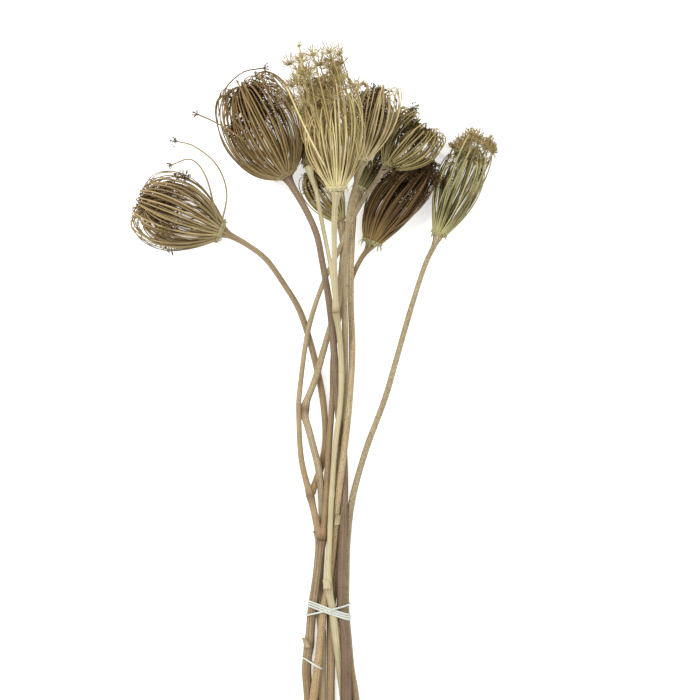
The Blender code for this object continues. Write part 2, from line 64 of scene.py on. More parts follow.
MM: float = 0.001
FOOTPRINT_MIDDLE: tuple[float, float] = (1.74, -7.57)
BOX_LOW: tuple[float, float, float] = (-147.4, -289.1, -9.0)
BOX_HIGH: tuple[float, float, float] = (147.4, 289.1, 122.5)
SOFT_EDGE: float = 5.0
RIBS: int = 9
BODY: str = "root"
STRAND_UV: str = "strand"
STRAW_TINT: str = "straw"
GOLDEN_TURN: float = math.pi * (3.0 - math.sqrt(5.0))

Colour = tuple[float, float, float]
Point = tuple[float, float, float]
StemPoint = tuple[float, float, float, float]


# Small helpers for lines in space


def unit(vectors: np.ndarray) -> np.ndarray:
    """Return vectors scaled to length 1 along their last axis."""
    return vectors / np.maximum(np.linalg.norm(vectors, axis=-1, keepdims=True), 1e-9)


def any_across(directions: np.ndarray) -> np.ndarray:
    """Return for each direction some unit vector square to it.

    Args:
        directions: Unit vectors, shape (m, 3).

    Returns:
        Unit vectors, shape (m, 3).
    """
    helper = np.where(np.abs(directions[:, 2:3]) < 0.8, [[0.0, 0.0, 1.0]], [[1.0, 0.0, 0.0]])
    return unit(np.cross(directions, helper))


def smooth_through(points: list[tuple[float, ...]], runs: list[int]) -> np.ndarray:
    """Return points on a smooth curve through the given ones.

    Args:
        points: The points to pass, each with three or more numbers.
        runs: How many steps follow each point but the last.

    Returns:
        Array of shape (sum(runs) + 1, numbers in a point).
    """
    fixed = np.array(points, float)
    padded = np.vstack([2 * fixed[:1] - fixed[1:2], fixed, 2 * fixed[-1:] - fixed[-2:-1]])
    parts = []
    for i, count in enumerate(runs):
        a, b, c, d = padded[i:i + 4]
        t = (np.arange(count) / count)[:, None]
        parts.append(0.5 * (2 * b + (c - a) * t + (2 * a - 5 * b + 4 * c - d) * t ** 2
                            + (3 * b - a - 3 * c + d) * t ** 3))
    return np.vstack([*parts, fixed[-1:]])


def steps_between(points: list[tuple[float, ...]], step: float) -> list[int]:
    """Return for each run between points how many steps of about one length it takes."""
    places = np.array([point[:3] for point in points], float)
    spans = np.linalg.norm(np.diff(places, axis=0), axis=1)
    return [max(1, round(float(span) / step)) for span in spans]


def held_in_box(corners: np.ndarray) -> np.ndarray:
    """Return corners with those near or past the model's box eased back to its sides.

    Args:
        corners: Places in millimetres over the middle of the footprint, shape (n, 3).

    Returns:
        The eased places, shape (n, 3).
    """
    high = np.array(BOX_HIGH) - SOFT_EDGE + 1.5
    low = np.array(BOX_LOW) + SOFT_EDGE - 1.5
    over = np.maximum(corners - high, 0.0)
    under = np.maximum(low - corners, 0.0)
    return (np.clip(corners, low, high) + SOFT_EDGE * np.tanh(over / SOFT_EDGE)
            - SOFT_EDGE * np.tanh(under / SOFT_EDGE))


class MeshDraft:
    """Corners, faces and tints of one mesh that grows strand by strand, in millimetres.

    Every corner has a tint: the strand's own tone, how far along it is, and how deep it lies,
    which the straw finish turns into painted shade and the stem finish into dark nodes.
    """

    def __init__(self) -> None:
        """Start with nothing."""
        self.corners: list[np.ndarray] = []
        self.tints: list[np.ndarray] = []
        self.loops: list[np.ndarray] = []
        self.places: list[np.ndarray] = []
        self.sizes: list[np.ndarray] = []
        self.count = 0

    def add_tubes(self, lines: np.ndarray, radii: np.ndarray, sides: int, across: np.ndarray,
                  tones: np.ndarray, flat: float = 1.0, ribs: np.ndarray | None = None,
                  deep: np.ndarray | float = 0.0, closed: bool = False) -> None:
        """Add tubes of the same number of rings along lines.

        Args:
            lines: Middle lines, shape (m, n, 3).
            radii: Radii, shape (n,) or (m, n).
            sides: Sides of the section.
            across: Direction of each tube's section axis, shape (m, 3) or (m, n, 3).
            tones: Tone of each tube, from 0 to 1, shape (m,).
            flat: Height of the section as a share of its width.
            ribs: Radius share of each side, shape (sides,), or None for a round section.
            deep: Depth tint, 0 outside, 1 deep inside, painted shade on rays and dark nodes on
                stems: one number, or shape (m,) or (m, n).
            closed: Whether the tube joins its own start.
        """
        m, n, _ = lines.shape
        if closed:
            tangents = unit(np.roll(lines, -1, axis=1) - np.roll(lines, 1, axis=1))
        else:
            tangents = unit(np.gradient(lines, axis=1))
        if across.ndim == 2:
            across = np.repeat(across[:, None, :], n, axis=1)
        along = np.sum(across * tangents, axis=-1, keepdims=True)
        across = unit(across - along * tangents)
        up = np.cross(tangents, across)
        radii = np.broadcast_to(radii, (m, n))
        turn = 2 * math.pi * np.arange(sides) / sides
        share = np.ones(sides) if ribs is None else ribs
        wide = (np.cos(turn) * share)[None, None, :, None]
        high = (np.sin(turn) * share * flat)[None, None, :, None]
        ring = lines[:, :, None, :] + radii[:, :, None, None] * (
            wide * across[:, :, None, :] + high * up[:, :, None, :])
        span = np.linalg.norm(np.diff(lines, axis=1), axis=2)
        reach = np.concatenate([np.zeros((m, 1)), np.cumsum(span, axis=1)], axis=1)
        tint = np.empty((m, n, sides, 3))
        tint[..., 0] = tones[:, None, None]
        tint[..., 1] = (reach / reach[:, -1:])[:, :, None]
        depth = np.asarray(deep, float)
        tint[..., 2] = np.broadcast_to(depth[:, None] if depth.ndim == 1 else depth,
                                       (m, n))[..., None]
        index = self.count + np.arange(m * n * sides).reshape(m, n, sides)
        after = np.roll(index, -1, axis=2)
        low = index if closed else index[:, :-1]
        low_after = after if closed else after[:, :-1]
        high_ring = np.roll(index, -1, axis=1) if closed else index[:, 1:]
        high_after = np.roll(after, -1, axis=1) if closed else after[:, 1:]
        walls = np.stack([low, low_after, high_after, high_ring], axis=-1)
        u = np.broadcast_to((np.arange(sides) / sides)[None, None, :], walls.shape[:3])
        ends = np.concatenate([reach[:, 1:], reach[:, -1:] + span[:, -1:]], axis=1)
        v0 = np.broadcast_to((reach if closed else reach[:, :-1])[:, :, None], walls.shape[:3])
        v1 = np.broadcast_to((ends if closed else reach[:, 1:])[:, :, None], walls.shape[:3])
        more = u + 1.0 / sides
        place = np.stack([np.stack([u, v0], -1), np.stack([more, v0], -1),
                          np.stack([more, v1], -1), np.stack([u, v1], -1)], axis=-2)
        self._keep(ring.reshape(-1, 3), tint.reshape(-1, 3))
        self._faces(walls.reshape(-1, 4), place.reshape(-1, 4, 2))
        if not closed:
            for cap in (index[:, 0, ::-1], index[:, -1, :]):
                self._faces(cap, np.zeros((m, sides, 2)))

    def add_grid(self, points: np.ndarray, tone: float, wrap: bool = False) -> None:
        """Add a sheet of corners in rows.

        Args:
            points: Corners, shape (rows, columns, 3).
            tone: Tone of the whole sheet.
            wrap: Whether the last column joins the first.
        """
        rows, columns, _ = points.shape
        tint = np.zeros((rows, columns, 3))
        tint[..., 0] = tone
        tint[..., 1] = np.linspace(0.0, 1.0, rows)[:, None]
        index = self.count + np.arange(rows * columns).reshape(rows, columns)
        if wrap:
            index = np.concatenate([index, index[:, :1]], axis=1)
        walls = np.stack([index[:-1, :-1], index[:-1, 1:], index[1:, 1:], index[1:, :-1]], -1)
        across = np.arange(walls.shape[1]) / walls.shape[1]
        down = np.arange(walls.shape[0]) * 1.0
        u, v = np.meshgrid(across, down)
        more = u + 1.0 / walls.shape[1]
        place = np.stack([np.stack([u, v], -1), np.stack([more, v], -1),
                          np.stack([more, v + 1], -1), np.stack([u, v + 1], -1)], axis=-2)
        self._keep(points.reshape(-1, 3), tint.reshape(-1, 3))
        self._faces(walls.reshape(-1, 4), place.reshape(-1, 4, 2))

    def _keep(self, corners: np.ndarray, tints: np.ndarray) -> None:
        """Store corners with their tints."""
        self.corners.append(corners)
        self.tints.append(tints)
        self.count += len(corners)

    def _faces(self, faces: np.ndarray, places: np.ndarray) -> None:
        """Store faces of one corner count with the places of their corners on the strand."""
        self.loops.append(faces.reshape(-1))
        self.places.append(places.reshape(-1, 2))
        self.sizes.append(np.full(len(faces), faces.shape[1]))

    def build(self, name: str, material: bpy.types.Material, lowest: float = 0.05,
              soft: bool = True) -> bpy.types.Object:
        """Make the object in metres, over the middle of the footprint.

        Args:
            name: The piece's name.
            material: Its material.
            lowest: No corner goes below this height, in millimetres.
            soft: Whether its faces are shaded smooth.

        Returns:
            The new object, linked to the scene and riding on the bunch.
        """
        corners = np.vstack(self.corners)
        corners[:, 0] -= FOOTPRINT_MIDDLE[0]
        corners[:, 1] -= FOOTPRINT_MIDDLE[1]
        corners = held_in_box(corners)
        corners[:, 2] = np.maximum(corners[:, 2], lowest)
        loops = np.concatenate(self.loops).astype(np.int32)
        sizes = np.concatenate(self.sizes)
        starts = np.concatenate([[0], np.cumsum(sizes)[:-1]]).astype(np.int32)
        mesh = bpy.data.meshes.new(name)
        mesh.vertices.add(len(corners))
        mesh.vertices.foreach_set("co", (corners * MM).astype(np.float32).ravel())
        mesh.loops.add(len(loops))
        mesh.loops.foreach_set("vertex_index", loops)
        mesh.polygons.add(len(sizes))
        mesh.polygons.foreach_set("loop_start", starts)
        mesh.polygons.foreach_set("use_smooth", np.full(len(sizes), soft))
        mesh.update(calc_edges=True)
        tint = mesh.attributes.new(STRAW_TINT, "FLOAT_COLOR", "POINT")
        shades = np.hstack([np.vstack(self.tints), np.ones((len(corners), 1))])
        tint.data.foreach_set("color", shades.astype(np.float32).ravel())
        strand = mesh.uv_layers.new(name=STRAND_UV)
        strand.data.foreach_set("uv", np.vstack(self.places).astype(np.float32).ravel())
        mesh.validate()
        piece = bpy.data.objects.new(name, mesh)
        bpy.context.scene.collection.objects.link(piece)
        mesh.materials.append(material)
        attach(piece, BODY)
        LOG.info("%s: %d corners, %d faces", name, len(mesh.vertices), len(mesh.polygons))
        return piece


# Shader groups that several finishes share


class Shader:
    """Short ways to place and wire the nodes of one material or group."""

    def __init__(self, tree: bpy.types.NodeTree) -> None:
        """Work in a node tree."""
        self.tree = tree

    def node(self, kind: str, **settings: object) -> bpy.types.Node:
        """Add a node.

        Args:
            kind: The node's type, without the leading ShaderNode.
            **settings: Its own properties.

        Returns:
            The node.
        """
        made = self.tree.nodes.new("ShaderNode" + kind)
        for key, value in settings.items():
            setattr(made, key, value)
        return made

    def feed(self, socket: bpy.types.NodeSocket, value: object) -> None:
        """Wire a socket to another one, or set its number or colour."""
        if isinstance(value, bpy.types.NodeSocket):
            self.tree.links.new(value, socket)
        elif isinstance(value, tuple) and len(value) == 3 and socket.type == "RGBA":
            socket.default_value = (*value, 1.0)
        else:
            socket.default_value = value

    def mix(self, share: object, first: object, second: object,
            blend: str = "MIX") -> bpy.types.NodeSocket:
        """Return a mix of two colours."""
        made = self.node("Mix", data_type="RGBA", blend_type=blend)
        self.feed(made.inputs["Factor"], share)
        self.feed(made.inputs["A"], first)
        self.feed(made.inputs["B"], second)
        return made.outputs["Result"]

    def sums(self, operation: str, first: object, second: object = 0.0) -> bpy.types.NodeSocket:
        """Return the result of one sum of two values."""
        made = self.node("Math", operation=operation)
        self.feed(made.inputs[0], first)
        self.feed(made.inputs[1], second)
        return made.outputs[0]

    def remap(self, value: object, low: float, high: float, to_low: float,
              to_high: float) -> bpy.types.NodeSocket:
        """Return a value moved from one range to another, held inside it."""
        made = self.node("MapRange")
        for socket, number in zip(made.inputs, (value, low, high, to_low, to_high)):
            self.feed(socket, number)
        return made.outputs["Result"]


def new_group(name: str, takes: dict[str, float], gives: dict[str, str]) -> Shader:
    """Start a shader group with named inputs and outputs.

    Args:
        name: The group's name.
        takes: Names of its number inputs with their first values.
        gives: Names of its outputs with their socket types.

    Returns:
        The tools for wiring it.
    """
    tree = bpy.data.node_groups.new(name, "ShaderNodeTree")
    for label, value in takes.items():
        socket = tree.interface.new_socket(label, in_out="INPUT", socket_type="NodeSocketFloat")
        socket.default_value = value
    for label, kind in gives.items():
        tree.interface.new_socket(label, in_out="OUTPUT", socket_type=kind)
    tree.nodes.new("NodeGroupInput")
    tree.nodes.new("NodeGroupOutput")
    return Shader(tree)


def dry_mottle_group() -> bpy.types.NodeTree:
    """Make the group for the blotches and specks of dried plant tissue.

    Returns:
        The group, with outputs Blotch, Speck and Height.
    """
    shader = new_group("dry_mottle", {"Blotch Size": 6.0, "Speck Size": 0.8, "Speck Share": 0.3},
                       {"Blotch": "NodeSocketFloat", "Speck": "NodeSocketFloat",
                        "Height": "NodeSocketFloat"})
    takes = shader.tree.nodes["Group Input"].outputs
    gives = shader.tree.nodes["Group Output"].inputs
    where = shader.node("TexCoord").outputs["Object"]
    blotch = shader.node("TexNoise", noise_dimensions="3D")
    shader.feed(blotch.inputs["Vector"], where)
    shader.feed(blotch.inputs["Scale"], shader.sums("DIVIDE", 1000.0, takes["Blotch Size"]))
    blotch.inputs["Detail"].default_value = 2.0
    speck = shader.node("TexNoise", noise_dimensions="3D")
    shader.feed(speck.inputs["Vector"], where)
    shader.feed(speck.inputs["Scale"], shader.sums("DIVIDE", 1000.0, takes["Speck Size"]))
    speck.inputs["Detail"].default_value = 3.0
    speck.inputs["Roughness"].default_value = 0.6
    edge = shader.sums("SUBTRACT", 0.75, shader.sums("MULTIPLY", takes["Speck Share"], 0.45))
    over = shader.sums("SUBTRACT", speck.outputs["Fac"], edge)
    shader.feed(gives["Blotch"], shader.remap(blotch.outputs["Fac"], 0.3, 0.7, 0.0, 1.0))
    shader.feed(gives["Speck"], shader.remap(over, 0.0, 0.09, 0.0, 1.0))
    shader.feed(gives["Height"], speck.outputs["Fac"])
    return shader.tree


def fibre_group() -> bpy.types.NodeTree:
    """Make the group for the long fibres that run along a stem or ray.

    Returns:
        The group, with output Fibre, a value that streaks along the strand.
    """
    shader = new_group("fibre_streaks", {"Streaks Around": 9.0, "Streak Length": 30.0},
                       {"Fibre": "NodeSocketFloat"})
    takes = shader.tree.nodes["Group Input"].outputs
    gives = shader.tree.nodes["Group Output"].inputs
    split = shader.node("SeparateXYZ")
    shader.feed(split.inputs[0], shader.node("UVMap", uv_map=STRAND_UV).outputs["UV"])
    join = shader.node("CombineXYZ")
    shader.feed(join.inputs["X"], shader.sums("MULTIPLY", split.outputs["X"],
                                              takes["Streaks Around"]))
    shader.feed(join.inputs["Y"], shader.sums("DIVIDE", split.outputs["Y"],
                                              takes["Streak Length"]))
    tint = shader.node("Attribute", attribute_name=STRAW_TINT)
    parts = shader.node("SeparateColor")
    shader.feed(parts.inputs[0], tint.outputs["Color"])
    shader.feed(join.inputs["Z"], shader.sums("MULTIPLY", parts.outputs[0], 31.0))
    noise = shader.node("TexNoise", noise_dimensions="3D")
    shader.feed(noise.inputs["Vector"], join.outputs[0])
    noise.inputs["Scale"].default_value = 1.0
    noise.inputs["Detail"].default_value = 3.0
    shader.feed(gives["Fibre"], shader.remap(noise.outputs["Fac"], 0.3, 0.7, 0.0, 1.0))
    return shader.tree


class Groups:
    """The shared shader groups, each built once."""

    made: dict[str, bpy.types.NodeTree] = {}

    @classmethod
    def place(cls, shader: Shader, name: str, **values: float) -> bpy.types.Node:
        """Place a shared group in a material.

        Args:
            shader: The material's tools.
            name: dry_mottle or fibre_streaks.
            **values: Input values, with underscores for spaces.

        Returns:
            The group node.
        """
        makers = {"dry_mottle": dry_mottle_group, "fibre_streaks": fibre_group}
        if name not in cls.made:
            cls.made[name] = makers[name]()
        node = shader.node("Group")
        node.node_tree = cls.made[name]
        for label, value in values.items():
            node.inputs[label.replace("_", " ")].default_value = value
        return node


def start_material(name: str) -> tuple[bpy.types.Material, Shader, bpy.types.Node]:
    """Return a new material with its tools and its Principled BSDF."""
    material = bpy.data.materials.new(name)
    material.use_nodes = True
    return material, Shader(material.node_tree), material.node_tree.nodes["Principled BSDF"]


@dataclass(frozen=True)
class StrawFinish:
    """Finish of dry rays: a lighter and a darker straw that differ from ray to ray, with painted
    shade on the rays that stand deep inside the cage.
    """

    root: Colour
    light: Colour
    dark: Colour
    tip: Colour
    roughness: float = 0.62
    mottle: float = 0.35

    def material(self, name: str) -> bpy.types.Material:
        """Return the finish as a material."""
        made, shader, body = start_material(name)
        tint = shader.node("Attribute", attribute_name=STRAW_TINT)
        parts = shader.node("SeparateColor")
        shader.feed(parts.inputs[0], tint.outputs["Color"])
        tone, along = parts.outputs[0], parts.outputs[1]
        mottle = Groups.place(shader, "dry_mottle", Blotch_Size=9.0, Speck_Size=0.9,
                              Speck_Share=0.35)
        fibre = Groups.place(shader, "fibre_streaks", Streaks_Around=5.0, Streak_Length=14.0)
        shade = shader.sums("ADD", shader.remap(tone, 0.0, 1.0, 0.2, 0.9),
                            shader.remap(mottle.outputs["Blotch"], 0.0, 1.0, -self.mottle / 2,
                                         self.mottle / 2))
        straw = shader.mix(shade, self.dark, self.light)
        straw = shader.mix(shader.remap(along, 0.0, 0.24, 0.75, 0.0), straw, self.root)
        straw = shader.mix(shader.remap(along, 0.45, 1.0, 0.0, 0.7), straw, self.tip)
        straw = shader.mix(shader.remap(fibre.outputs["Fibre"], 0.0, 1.0, 0.3, 0.0), straw,
                           self.dark)
        straw = shader.mix(shader.sums("MULTIPLY", mottle.outputs["Speck"], 0.3), straw,
                           self.dark)
        # Painted shade: rays deep inside the cage are mixed towards the dark straw.
        straw = shader.mix(shader.sums("MULTIPLY", parts.outputs[2], 0.85), straw, self.dark)
        shader.feed(body.inputs["Base Color"], straw)
        body.inputs["Specular IOR Level"].default_value = 0.2
        shader.feed(body.inputs["Roughness"],
                    shader.remap(fibre.outputs["Fibre"], 0.0, 1.0, self.roughness + 0.12,
                                 self.roughness - 0.08))
        bump = shader.node("Bump")
        bump.inputs["Distance"].default_value = 0.00012
        bump.inputs["Strength"].default_value = 0.6
        shader.feed(bump.inputs["Height"], fibre.outputs["Fibre"])
        shader.feed(body.inputs["Normal"], bump.outputs["Normal"])
        return made


@dataclass(frozen=True)
class SeedFinish:
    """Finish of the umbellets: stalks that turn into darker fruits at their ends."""

    stalk: Colour
    fruit: Colour
    dark: Colour
    roughness: float = 0.8

    def material(self, name: str) -> bpy.types.Material:
        """Return the finish as a material."""
        made, shader, body = start_material(name)
        tint = shader.node("Attribute", attribute_name=STRAW_TINT)
        parts = shader.node("SeparateColor")
        shader.feed(parts.inputs[0], tint.outputs["Color"])
        tone, along = parts.outputs[0], parts.outputs[1]
        mottle = Groups.place(shader, "dry_mottle", Blotch_Size=5.0, Speck_Size=0.7,
                              Speck_Share=0.5)
        fruit = shader.mix(shader.sums("MULTIPLY", tone, 1.0), self.dark, self.fruit)
        colour = shader.mix(shader.remap(along, 0.45, 0.75, 0.0, 1.0), self.stalk, fruit)
        colour = shader.mix(shader.remap(mottle.outputs["Blotch"], 0.0, 1.0, 0.0, 0.45), colour,
                            self.dark)
        colour = shader.mix(shader.sums("MULTIPLY", mottle.outputs["Speck"], 0.5), colour,
                            self.dark)
        shader.feed(body.inputs["Base Color"], colour)
        body.inputs["Roughness"].default_value = self.roughness
        body.inputs["Specular IOR Level"].default_value = 0.15
        bump = shader.node("Bump")
        bump.inputs["Distance"].default_value = 0.0001
        bump.inputs["Strength"].default_value = 0.5
        shader.feed(bump.inputs["Height"], mottle.outputs["Height"])
        shader.feed(body.inputs["Normal"], bump.outputs["Normal"])
        return made


@dataclass(frozen=True)
class StemFinish:
    """Finish of a cut stem: ribs with a lighter crest and painted shade in the grooves between
    them, and brown specks.
    """

    base: Colour
    crest: Colour
    speck: Colour
    foot: Colour
    speck_share: float = 0.4
    painted_groove_shade: float = 0.55
    roughness: float = 0.6

    def material(self, name: str) -> bpy.types.Material:
        """Return the finish as a material."""
        made, shader, body = start_material(name)
        tint = shader.node("Attribute", attribute_name=STRAW_TINT)
        parts = shader.node("SeparateColor")
        shader.feed(parts.inputs[0], tint.outputs["Color"])
        crest, along, knot = parts.outputs[0], parts.outputs[1], parts.outputs[2]
        mottle = Groups.place(shader, "dry_mottle", Blotch_Size=16.0, Speck_Size=1.1,
                              Speck_Share=self.speck_share)
        fibre = Groups.place(shader, "fibre_streaks", Streaks_Around=11.0, Streak_Length=26.0)
        split = shader.node("SeparateXYZ")
        shader.feed(split.inputs[0], shader.node("UVMap", uv_map=STRAND_UV).outputs["UV"])
        wave = shader.sums("COSINE", shader.sums("MULTIPLY", split.outputs["X"],
                                                 2 * math.pi * RIBS))
        colour = shader.mix(shader.remap(fibre.outputs["Fibre"], 0.1, 0.9, 0.0, 0.85), self.base,
                            self.crest)
        # Painted shade: the grooves between the ribs are mixed towards the speck colour.
        colour = shader.mix(shader.remap(wave, -1.0, 0.6, self.painted_groove_shade, 0.0), colour, self.speck)
        colour = shader.mix(shader.sums("MULTIPLY", crest, 0.8), colour, self.crest)
        # Towards the cut end the colour turns to the foot colour: partly the stems' own browner
        # colour, partly painted shade where the stems lie packed together.
        colour = shader.mix(shader.remap(along, 0.35, 1.0, 0.0, 0.8), colour, self.foot)
        colour = shader.mix(shader.sums("MULTIPLY", mottle.outputs["Blotch"], 0.3), colour,
                            self.speck)
        colour = shader.mix(shader.sums("MULTIPLY", mottle.outputs["Speck"], 0.75), colour,
                            self.speck)
        colour = shader.mix(shader.sums("MULTIPLY", knot, 0.7), colour, self.speck)
        shader.feed(body.inputs["Base Color"], colour)
        shader.feed(body.inputs["Roughness"],
                    shader.remap(mottle.outputs["Speck"], 0.0, 1.0, self.roughness,
                                 self.roughness + 0.2))
        body.inputs["Specular IOR Level"].default_value = 0.25
        bump = shader.node("Bump")
        bump.inputs["Distance"].default_value = 0.0003
        bump.inputs["Strength"].default_value = 0.7
        shader.feed(bump.inputs["Height"], fibre.outputs["Fibre"])
        shader.feed(body.inputs["Normal"], bump.outputs["Normal"])
        return made


@dataclass(frozen=True)
class ElasticFinish:
    """Finish of the white elastic: matt rubber under a fine woven cover."""

    base: Colour = (0.62, 0.64, 0.57)
    shade: Colour = (0.42, 0.43, 0.37)
    roughness: float = 0.55

    def material(self, name: str) -> bpy.types.Material:
        """Return the finish as a material."""
        made, shader, body = start_material(name)
        weave = shader.node("TexWave", wave_type="BANDS", bands_direction="Y")
        shader.feed(weave.inputs["Vector"], shader.node("UVMap", uv_map=STRAND_UV).outputs["UV"])
        weave.inputs["Scale"].default_value = 0.55
        weave.inputs["Distortion"].default_value = 1.2
        mottle = Groups.place(shader, "dry_mottle", Blotch_Size=5.0, Speck_Size=0.6,
                              Speck_Share=0.2)
        share = shader.remap(weave.outputs["Fac"], 0.0, 0.6, 0.55, 0.0)
        colour = shader.mix(share, self.base, self.shade)
        colour = shader.mix(shader.sums("MULTIPLY", mottle.outputs["Blotch"], 0.15), colour,
                            self.shade)
        shader.feed(body.inputs["Base Color"], colour)
        body.inputs["Roughness"].default_value = self.roughness
        bump = shader.node("Bump")
        bump.inputs["Distance"].default_value = 0.0002
        bump.inputs["Strength"].default_value = 0.6
        shader.feed(bump.inputs["Height"], weave.outputs["Fac"])
        shader.feed(body.inputs["Normal"], bump.outputs["Normal"])
        return made


# The umbels


class Crown(Enum):
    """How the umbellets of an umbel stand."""

    CAGED = "inside the curled rays"
    BRUSHY = "standing out of the open top"


def ray_profile(splay: float, curl: float, power: float, steps: int,
                hook: float = 0.0) -> np.ndarray:
    """Return height and reach along a ray of length 1 that bends steadily inward.

    Args:
        splay: Degrees from the axis at the disc.
        curl: Degrees past the axis at the tip.
        power: Above 1 it bends later.
        steps: Runs along the ray.
        hook: Degrees by which its last quarter rolls up further.

    Returns:
        Array of shape (steps + 1, 2).
    """
    fine = 6
    share = (np.arange(steps * fine) + 0.5) / (steps * fine)
    rolled = hook * np.clip((share - 0.76) / 0.24, 0.0, 1.0) ** 1.3
    angle = np.radians(splay - (splay + curl) * share ** power - rolled)
    moves = np.stack([np.cos(angle), np.sin(angle)], axis=1) / (steps * fine)
    path = np.vstack([np.zeros((1, 2)), np.cumsum(moves, axis=0)])
    return path[::fine]


@dataclass
class Umbel:
    """One umbel: disc, bracts, curled rays, and the umbellets that the rays carry.

    Lengths are in millimetres. splay and curl are the outer rays' angles from the axis at
    the disc and past it at the tip. lean is the drift of the tips, sideways and upright.
    """

    name: str
    seed: int
    base: Point
    tip: Point
    width: float
    depth: float
    disc: float
    splay: float
    curl: float
    straw: StrawFinish
    seeds: SeedFinish
    collar: StrawFinish
    bend: float = 1.8
    rays: int = 84
    crowded: float = 0.38
    crown: Crown = Crown.CAGED
    crown_reach: float = 0.0
    crown_depth: float = 0.4
    crown_lean: float = 0.0
    crown_share: float = 0.62
    crown_spread: float = 0.95
    cage_reach: float = 1.0
    evenness: float = 1.0
    hooks: float = 0.0
    umbellet: float = 6.0
    pedicels: int = 16
    fruit: float = 0.55
    lean: tuple[float, float] = (0.0, 0.0)
    wander: float = 2.0
    inner_height: float = 0.42
    bracts: int = 7
    bract_length: float = 5.0
    strays: list[list[Point]] = field(default_factory=list)
    stray_size: float = 1.25
    ray_radius: float = 0.82
    tip_radius: float = 0.55
    ray_steps: int = 24
    ray_sides: int = 6

    def __post_init__(self) -> None:
        """Work out the umbel's own directions."""
        self.draws = np.random.default_rng(self.seed)
        self.root = np.array(self.base)
        run = np.array(self.tip) - self.root
        self.length = float(np.linalg.norm(run))
        self.axis = run / self.length
        self.side = unit(np.cross(self.axis, [0.0, 0.0, 1.0]))
        self.up = np.cross(self.side, self.axis)
        plain = ray_profile(self.splay, self.curl, self.bend, self.ray_steps)
        self.plain_reach = float(plain[:, 1].max())

    def ray(self, place: float, turn: float) -> np.ndarray:
        """Return the middle line of one ray.

        Args:
            place: Where it stands on the disc, 0 in the middle and 1 at the edge.
            turn: Its direction round the axis, in radians.

        Returns:
            Points, shape (ray_steps + 1, 3).
        """
        ring = 1.0 - (1.0 - place) ** 1.6
        splay = self.splay * ring * self.draws.uniform(0.88, 1.0)
        curl = self.curl * self.draws.uniform(0.7, 1.6) * (0.5 + 0.5 * ring)
        hook = self.draws.uniform(120.0, 260.0) * (self.draws.uniform() < self.hooks)
        power = self.bend * self.draws.uniform(0.85, 1.3)
        path = ray_profile(splay, curl, power, self.ray_steps, hook * (place > 0.75))
        tall = path[:, 0].max()
        wide = max(path[:, 1].max(), self.plain_reach)
        size = 1.0 - 0.16 * self.draws.uniform() ** 2
        shorter = self.cage_reach * (1.0 - (1.0 - self.evenness) * self.draws.uniform())
        share = np.linspace(0.0, 1.0, self.ray_steps + 1)
        foot = self.disc * 0.88 * place
        foot_height = 4.4 - 2.4 * place ** 3
        reach_wide = (self.width / 2 - foot - 1.0) * size
        reach_deep = (self.depth / 2 - foot - 1.0) * size
        wave = self.draws.uniform(0.6, 1.6) * math.pi
        start = self.draws.uniform(0.0, 2 * math.pi)
        waver = self.wander * share * (np.sin(share * wave + start) - math.sin(start))
        around = turn + self.draws.normal(0.0, 0.10) * share
        tallest = self.length - foot_height
        height = self.inner_height + (1.0 - self.inner_height) * ring
        rise = foot_height + tallest * path[:, 0] / tall * size * height * shorter
        out = path[:, 1] / wide
        wide_way = np.cos(around) * (foot + reach_wide * out) - np.sin(around) * waver
        deep_way = np.sin(around) * (foot + reach_deep * out) + np.cos(around) * waver
        drift = (rise / self.length) ** 2
        wide_way = wide_way + self.lean[0] * drift
        deep_way = deep_way + self.lean[1] * drift
        line = (self.root + rise[:, None] * self.axis + wide_way[:, None] * self.side
                + deep_way[:, None] * self.up)
        line[:, 2] = np.maximum(line[:, 2], 0.9)
        return line

    def tall_ray(self, place: float, turn: float) -> np.ndarray:
        """Return a ray of a brushy crown, which rises nearly straight and ends at the top.

        Args:
            place: Where it stands on the disc, 0 in the middle and 1 at the edge.
            turn: Its direction round the axis, in radians.

        Returns:
            Points, shape (ray_steps + 1, 3).
        """
        share = np.linspace(0.0, 1.0, self.ray_steps + 1)
        top = self.length * (self.crown_reach - self.crown_depth * self.draws.uniform())
        foot = self.disc * 0.8 * place
        spread = place * self.crown_spread * np.sin(share * 1.9)
        wide_way = np.cos(turn) * (foot + spread * self.width / 2)
        deep_way = np.sin(turn) * (foot + spread * self.depth / 2)
        rise = 4.0 + (top - 4.0) * share
        drift = (rise / self.length) ** 2
        bow = 2.0 * np.sin(share * math.pi * 1.3 + self.draws.uniform(0, 6.28)) * share
        line = (self.root + rise[:, None] * self.axis
                + (wide_way + (self.lean[0] + self.crown_lean) * drift + bow)[:, None]
                * self.side
                + (deep_way + self.lean[1] * drift)[:, None] * self.up)
        line[:, 2] = np.maximum(line[:, 2], 0.9)
        return line

    def ray_lines(self) -> tuple[np.ndarray, np.ndarray]:
        """Return all rays' middle lines and how deep each stands inside, from 0 to 1."""
        lines = []
        depths = []
        for index in range(self.rays):
            place = ((index + 0.5) / self.rays) ** self.crowded
            turn = index * GOLDEN_TURN + self.seed
            if self.crown is Crown.BRUSHY and place < self.crown_share:
                lines.append(self.tall_ray(place, turn))
                depths.append(1.0)
            else:
                lines.append(self.ray(place, turn))
                depths.append((1.0 - place) * 0.8)
        return np.array(lines), np.array(depths)

    def stray_lines(self) -> np.ndarray:
        """Return the middle lines of the rays that stand away from the cage."""
        lines = []
        for stray in self.strays:
            points = [tuple(self.root + self.axis * 3.0), *stray]
            smooth = smooth_through(points, [8] * (len(points) - 1))
            reach = np.concatenate([[0.0], np.cumsum(np.linalg.norm(np.diff(smooth, axis=0),
                                                                    axis=1))])
            even = np.linspace(0.0, reach[-1], self.ray_steps + 1)
            lines.append(np.stack([np.interp(even, reach, smooth[:, k]) for k in range(3)], 1))
        return np.array(lines)

